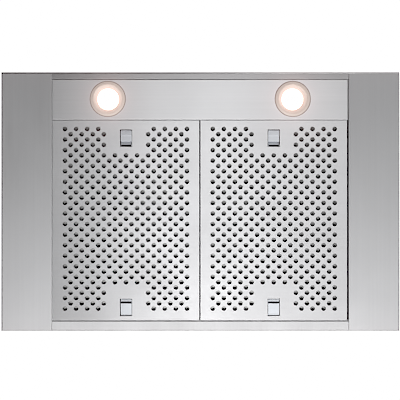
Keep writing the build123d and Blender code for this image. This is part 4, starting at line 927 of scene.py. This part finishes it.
def blade_outline(turn):
    """Section of one forward-curved blade, in the wheel's plane."""
    reach = WHEEL_RADIUS - BLADE_INSET - BLADE_INNER_RADIUS
    inner, outer = [], []
    for k in range(BLADE_STEPS + 1):
        share = k / BLADE_STEPS
        radius = BLADE_INNER_RADIUS + reach * share
        angle = turn + BLADE_SWEEP * (share**2)
        half = BLADE_THICKNESS / 2 / radius
        inner.append((radius * cos(angle - half), radius * sin(angle - half)))
        outer.append((radius * cos(angle + half), radius * sin(angle + half)))
    return inner + outer[::-1]


def add_wheel():
    """Double-width blower wheel about an axis along X."""
    low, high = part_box("impeller")
    half = (high.x - low.x) / 2
    matrix = facing(middle_of("impeller"), (1, 0, 0))

    def build(shape):
        for k in range(BLADE_COUNT):
            start = matrix @ Matrix.Translation((0, 0, RING_WIDTH - half))
            prism(shape, blade_outline(tau * k / BLADE_COUNT), start, 2 * (half - RING_WIDTH))
        for level in (-half, half - RING_WIDTH):
            ring = [
                (RING_INNER_RADIUS, level),
                (WHEEL_RADIUS, level),
                (WHEEL_RADIUS, level + RING_WIDTH),
                (RING_INNER_RADIUS, level + RING_WIDTH),
            ]
            revolve(shape, ring, matrix, closed=True)
        disc = [
            (HUB_BORE, DISC_HALF),
            (DISC_RADIUS, DISC_HALF),
            (DISC_RADIUS, -DISC_HALF),
            (HUB_RADIUS + HUB_CHAMFER, -DISC_HALF),
            (HUB_RADIUS, -DISC_HALF - HUB_CHAMFER),
            (HUB_RADIUS, -HUB_LENGTH),
            (HUB_BORE, -HUB_LENGTH),
        ]
        revolve(shape, disc, matrix, closed=True)

    stand_in(mesh_object("blower_wheel", build), "impeller", "wheel_plastic", "impeller")


add_wheel()


# Floor and surroundings
FLOOR_SEGMENTS = 96
FLOOR_TONES = ((0.78, 0.78, 0.78), (0.82, 0.82, 0.82))


def add_floor():
    """Round pale floor far below the hood, which the hood's own steel doesn't mirror."""
    floor = mesh_object(
        "floor",
        lambda shape: bmesh.ops.create_circle(
            shape, cap_ends=True, segments=FLOOR_SEGMENTS, radius=FLOOR_RADIUS
        ),
    )
    floor.location.z = UNDERSIDE - FLOOR_BELOW
    floor.visible_glossy = False
    floor.visible_diffuse = False
    pale = Shader("floor", Roughness=0.8)
    cloud = pale.noise(1.5, detail=3.0)
    pale.set("Base Color", pale.blend(cloud, *FLOOR_TONES))
    dress(floor, pale.material)


# Strengths of the surroundings, and the parts of a direction, across, along the depth or up,
# over which one strength gives way to another
SEEN_LIGHT = 1.0
BELOW_LIGHT = 0.01
ABOVE_LIGHT = 0.9
REAR_LIGHT = 1.3
SIDE_LIGHT = 0.9
FRONT_LEFT_LIGHT = 0.15
FRONT_RIGHT_LIGHT = 0.4
FRONT_SIDE_LIGHT = 0.6
FRONT_HIGH_LIGHT = 0.03
LEFT_TO_RIGHT = (-0.35, 0.5)
MIDDLE_TO_FRONT_SIDE = (0.3, 0.55)
FRONT_LOW_TO_HIGH = (0.05, 0.3)
FRONT_TO_REAR = (-0.15, 0.35)
LEVEL_TO_ABOVE = (0.6, 0.95)
BELOW_TO_LEVEL = (-0.65, -0.1)
MIDDLE_TO_SIDE = (0.7, 0.92)


def add_world():
    """Surroundings that show white: bright at sides, rear and top, dim in front, dark below."""
    world = bpy.data.worlds.new("world")
    world.use_nodes = True
    bpy.context.scene.world = world
    sky = Nodes(world.node_tree)
    surround = world.node_tree.nodes["Background"]
    surround.inputs["Color"].default_value = (1, 1, 1, 1)
    direction = sky.node("TexCoord").outputs["Generated"]
    across, along_depth, height = sky.node("SeparateXYZ", Vector=direction).outputs
    beside = sky.maths("ABSOLUTE", across)
    front = sky.spread(across, FRONT_LEFT_LIGHT, FRONT_RIGHT_LIGHT, *LEFT_TO_RIGHT)
    front = sky.spread(beside, front, FRONT_SIDE_LIGHT, *MIDDLE_TO_FRONT_SIDE)
    front = sky.spread(height, front, FRONT_HIGH_LIGHT, *FRONT_LOW_TO_HIGH)
    level = sky.spread(along_depth, front, REAR_LIGHT, *FRONT_TO_REAR)
    raised = sky.spread(height, level, ABOVE_LIGHT, *LEVEL_TO_ABOVE)
    lit = sky.spread(height, BELOW_LIGHT, raised, *BELOW_TO_LEVEL)
    sideways = sky.spread(beside, 0.0, 1.0, *MIDDLE_TO_SIDE)
    lit = sky.spread(sideways, lit, SIDE_LIGHT, 0.0, 1.0)
    seen = sky.node("LightPath").outputs["Is Camera Ray"]
    sky.feed(surround.inputs["Strength"], sky.spread(seen, lit, SEEN_LIGHT, 0.0, 1.0))


# Finish of the picture: the lamps' glow, and the sharpening
GLOW_THRESHOLD = 1.0
GLOW_STRENGTH = 1.0
GLOW_SIZE = 0.3
GLOW_TINT = (2.8, 1.6, 1.5, 1.0)
SHARPNESS = 0.17


def add_finish():
    """Soft glow round the lit lamps, and a mild sharpening like the photograph's."""
    scene = bpy.context.scene
    scene.use_nodes = True
    tree = scene.node_tree
    tree.nodes.clear()
    layers = tree.nodes.new("CompositorNodeRLayers")
    glow = tree.nodes.new("CompositorNodeGlare")
    glow.glare_type = "BLOOM"
    glow.quality = "HIGH"
    for name, value in (
        ("Threshold", GLOW_THRESHOLD),
        ("Strength", GLOW_STRENGTH),
        ("Size", GLOW_SIZE),
        ("Tint", GLOW_TINT),
    ):
        glow.inputs[name].default_value = value
    capped = tree.nodes.new("CompositorNodeMixRGB")
    capped.blend_type = "DARKEN"
    capped.inputs[2].default_value = (1, 1, 1, 1)
    sharp = tree.nodes.new("CompositorNodeFilter")
    sharp.filter_type = "SHARPEN_DIAMOND"
    sharp.inputs["Fac"].default_value = SHARPNESS
    result = tree.nodes.new("CompositorNodeComposite")
    tree.links.new(layers.outputs["Image"], glow.inputs["Image"])
    tree.links.new(glow.outputs["Image"], capped.inputs[1])
    tree.links.new(capped.outputs["Image"], sharp.inputs["Image"])
    tree.links.new(sharp.outputs["Image"], result.inputs["Image"])


add_camera()
add_floor()
add_world()
add_finish()
bpy.context.scene.view_settings.view_transform = "Standard"

# Soft lights below the hood: place across and along it, width, and watts
SOFTBOXES = {
    "key": (-0.05, 0.4, 0.45, 10.8),
    "rear_right": (0.7, 1.05, 0.9, 14.2),
    "rear_left": (-0.3, 1.05, 0.9, 4.1),
    "rear_far_left": (-0.8, 1.05, 0.9, 2.5),
    "right": (1.4, -0.3, 0.9, 2.6),
    "front_right": (0.5, -1.8, 0.9, 6.9),
    "front_left": (-0.5, -1.8, 0.9, 1.6),
}
for name, (x, y, size, watts) in SOFTBOXES.items():
    place = (x, y, UNDERSIDE - LIGHTS_BELOW)
    add_softbox("softbox_" + name, place, HOOD_MIDDLE, size, watts)
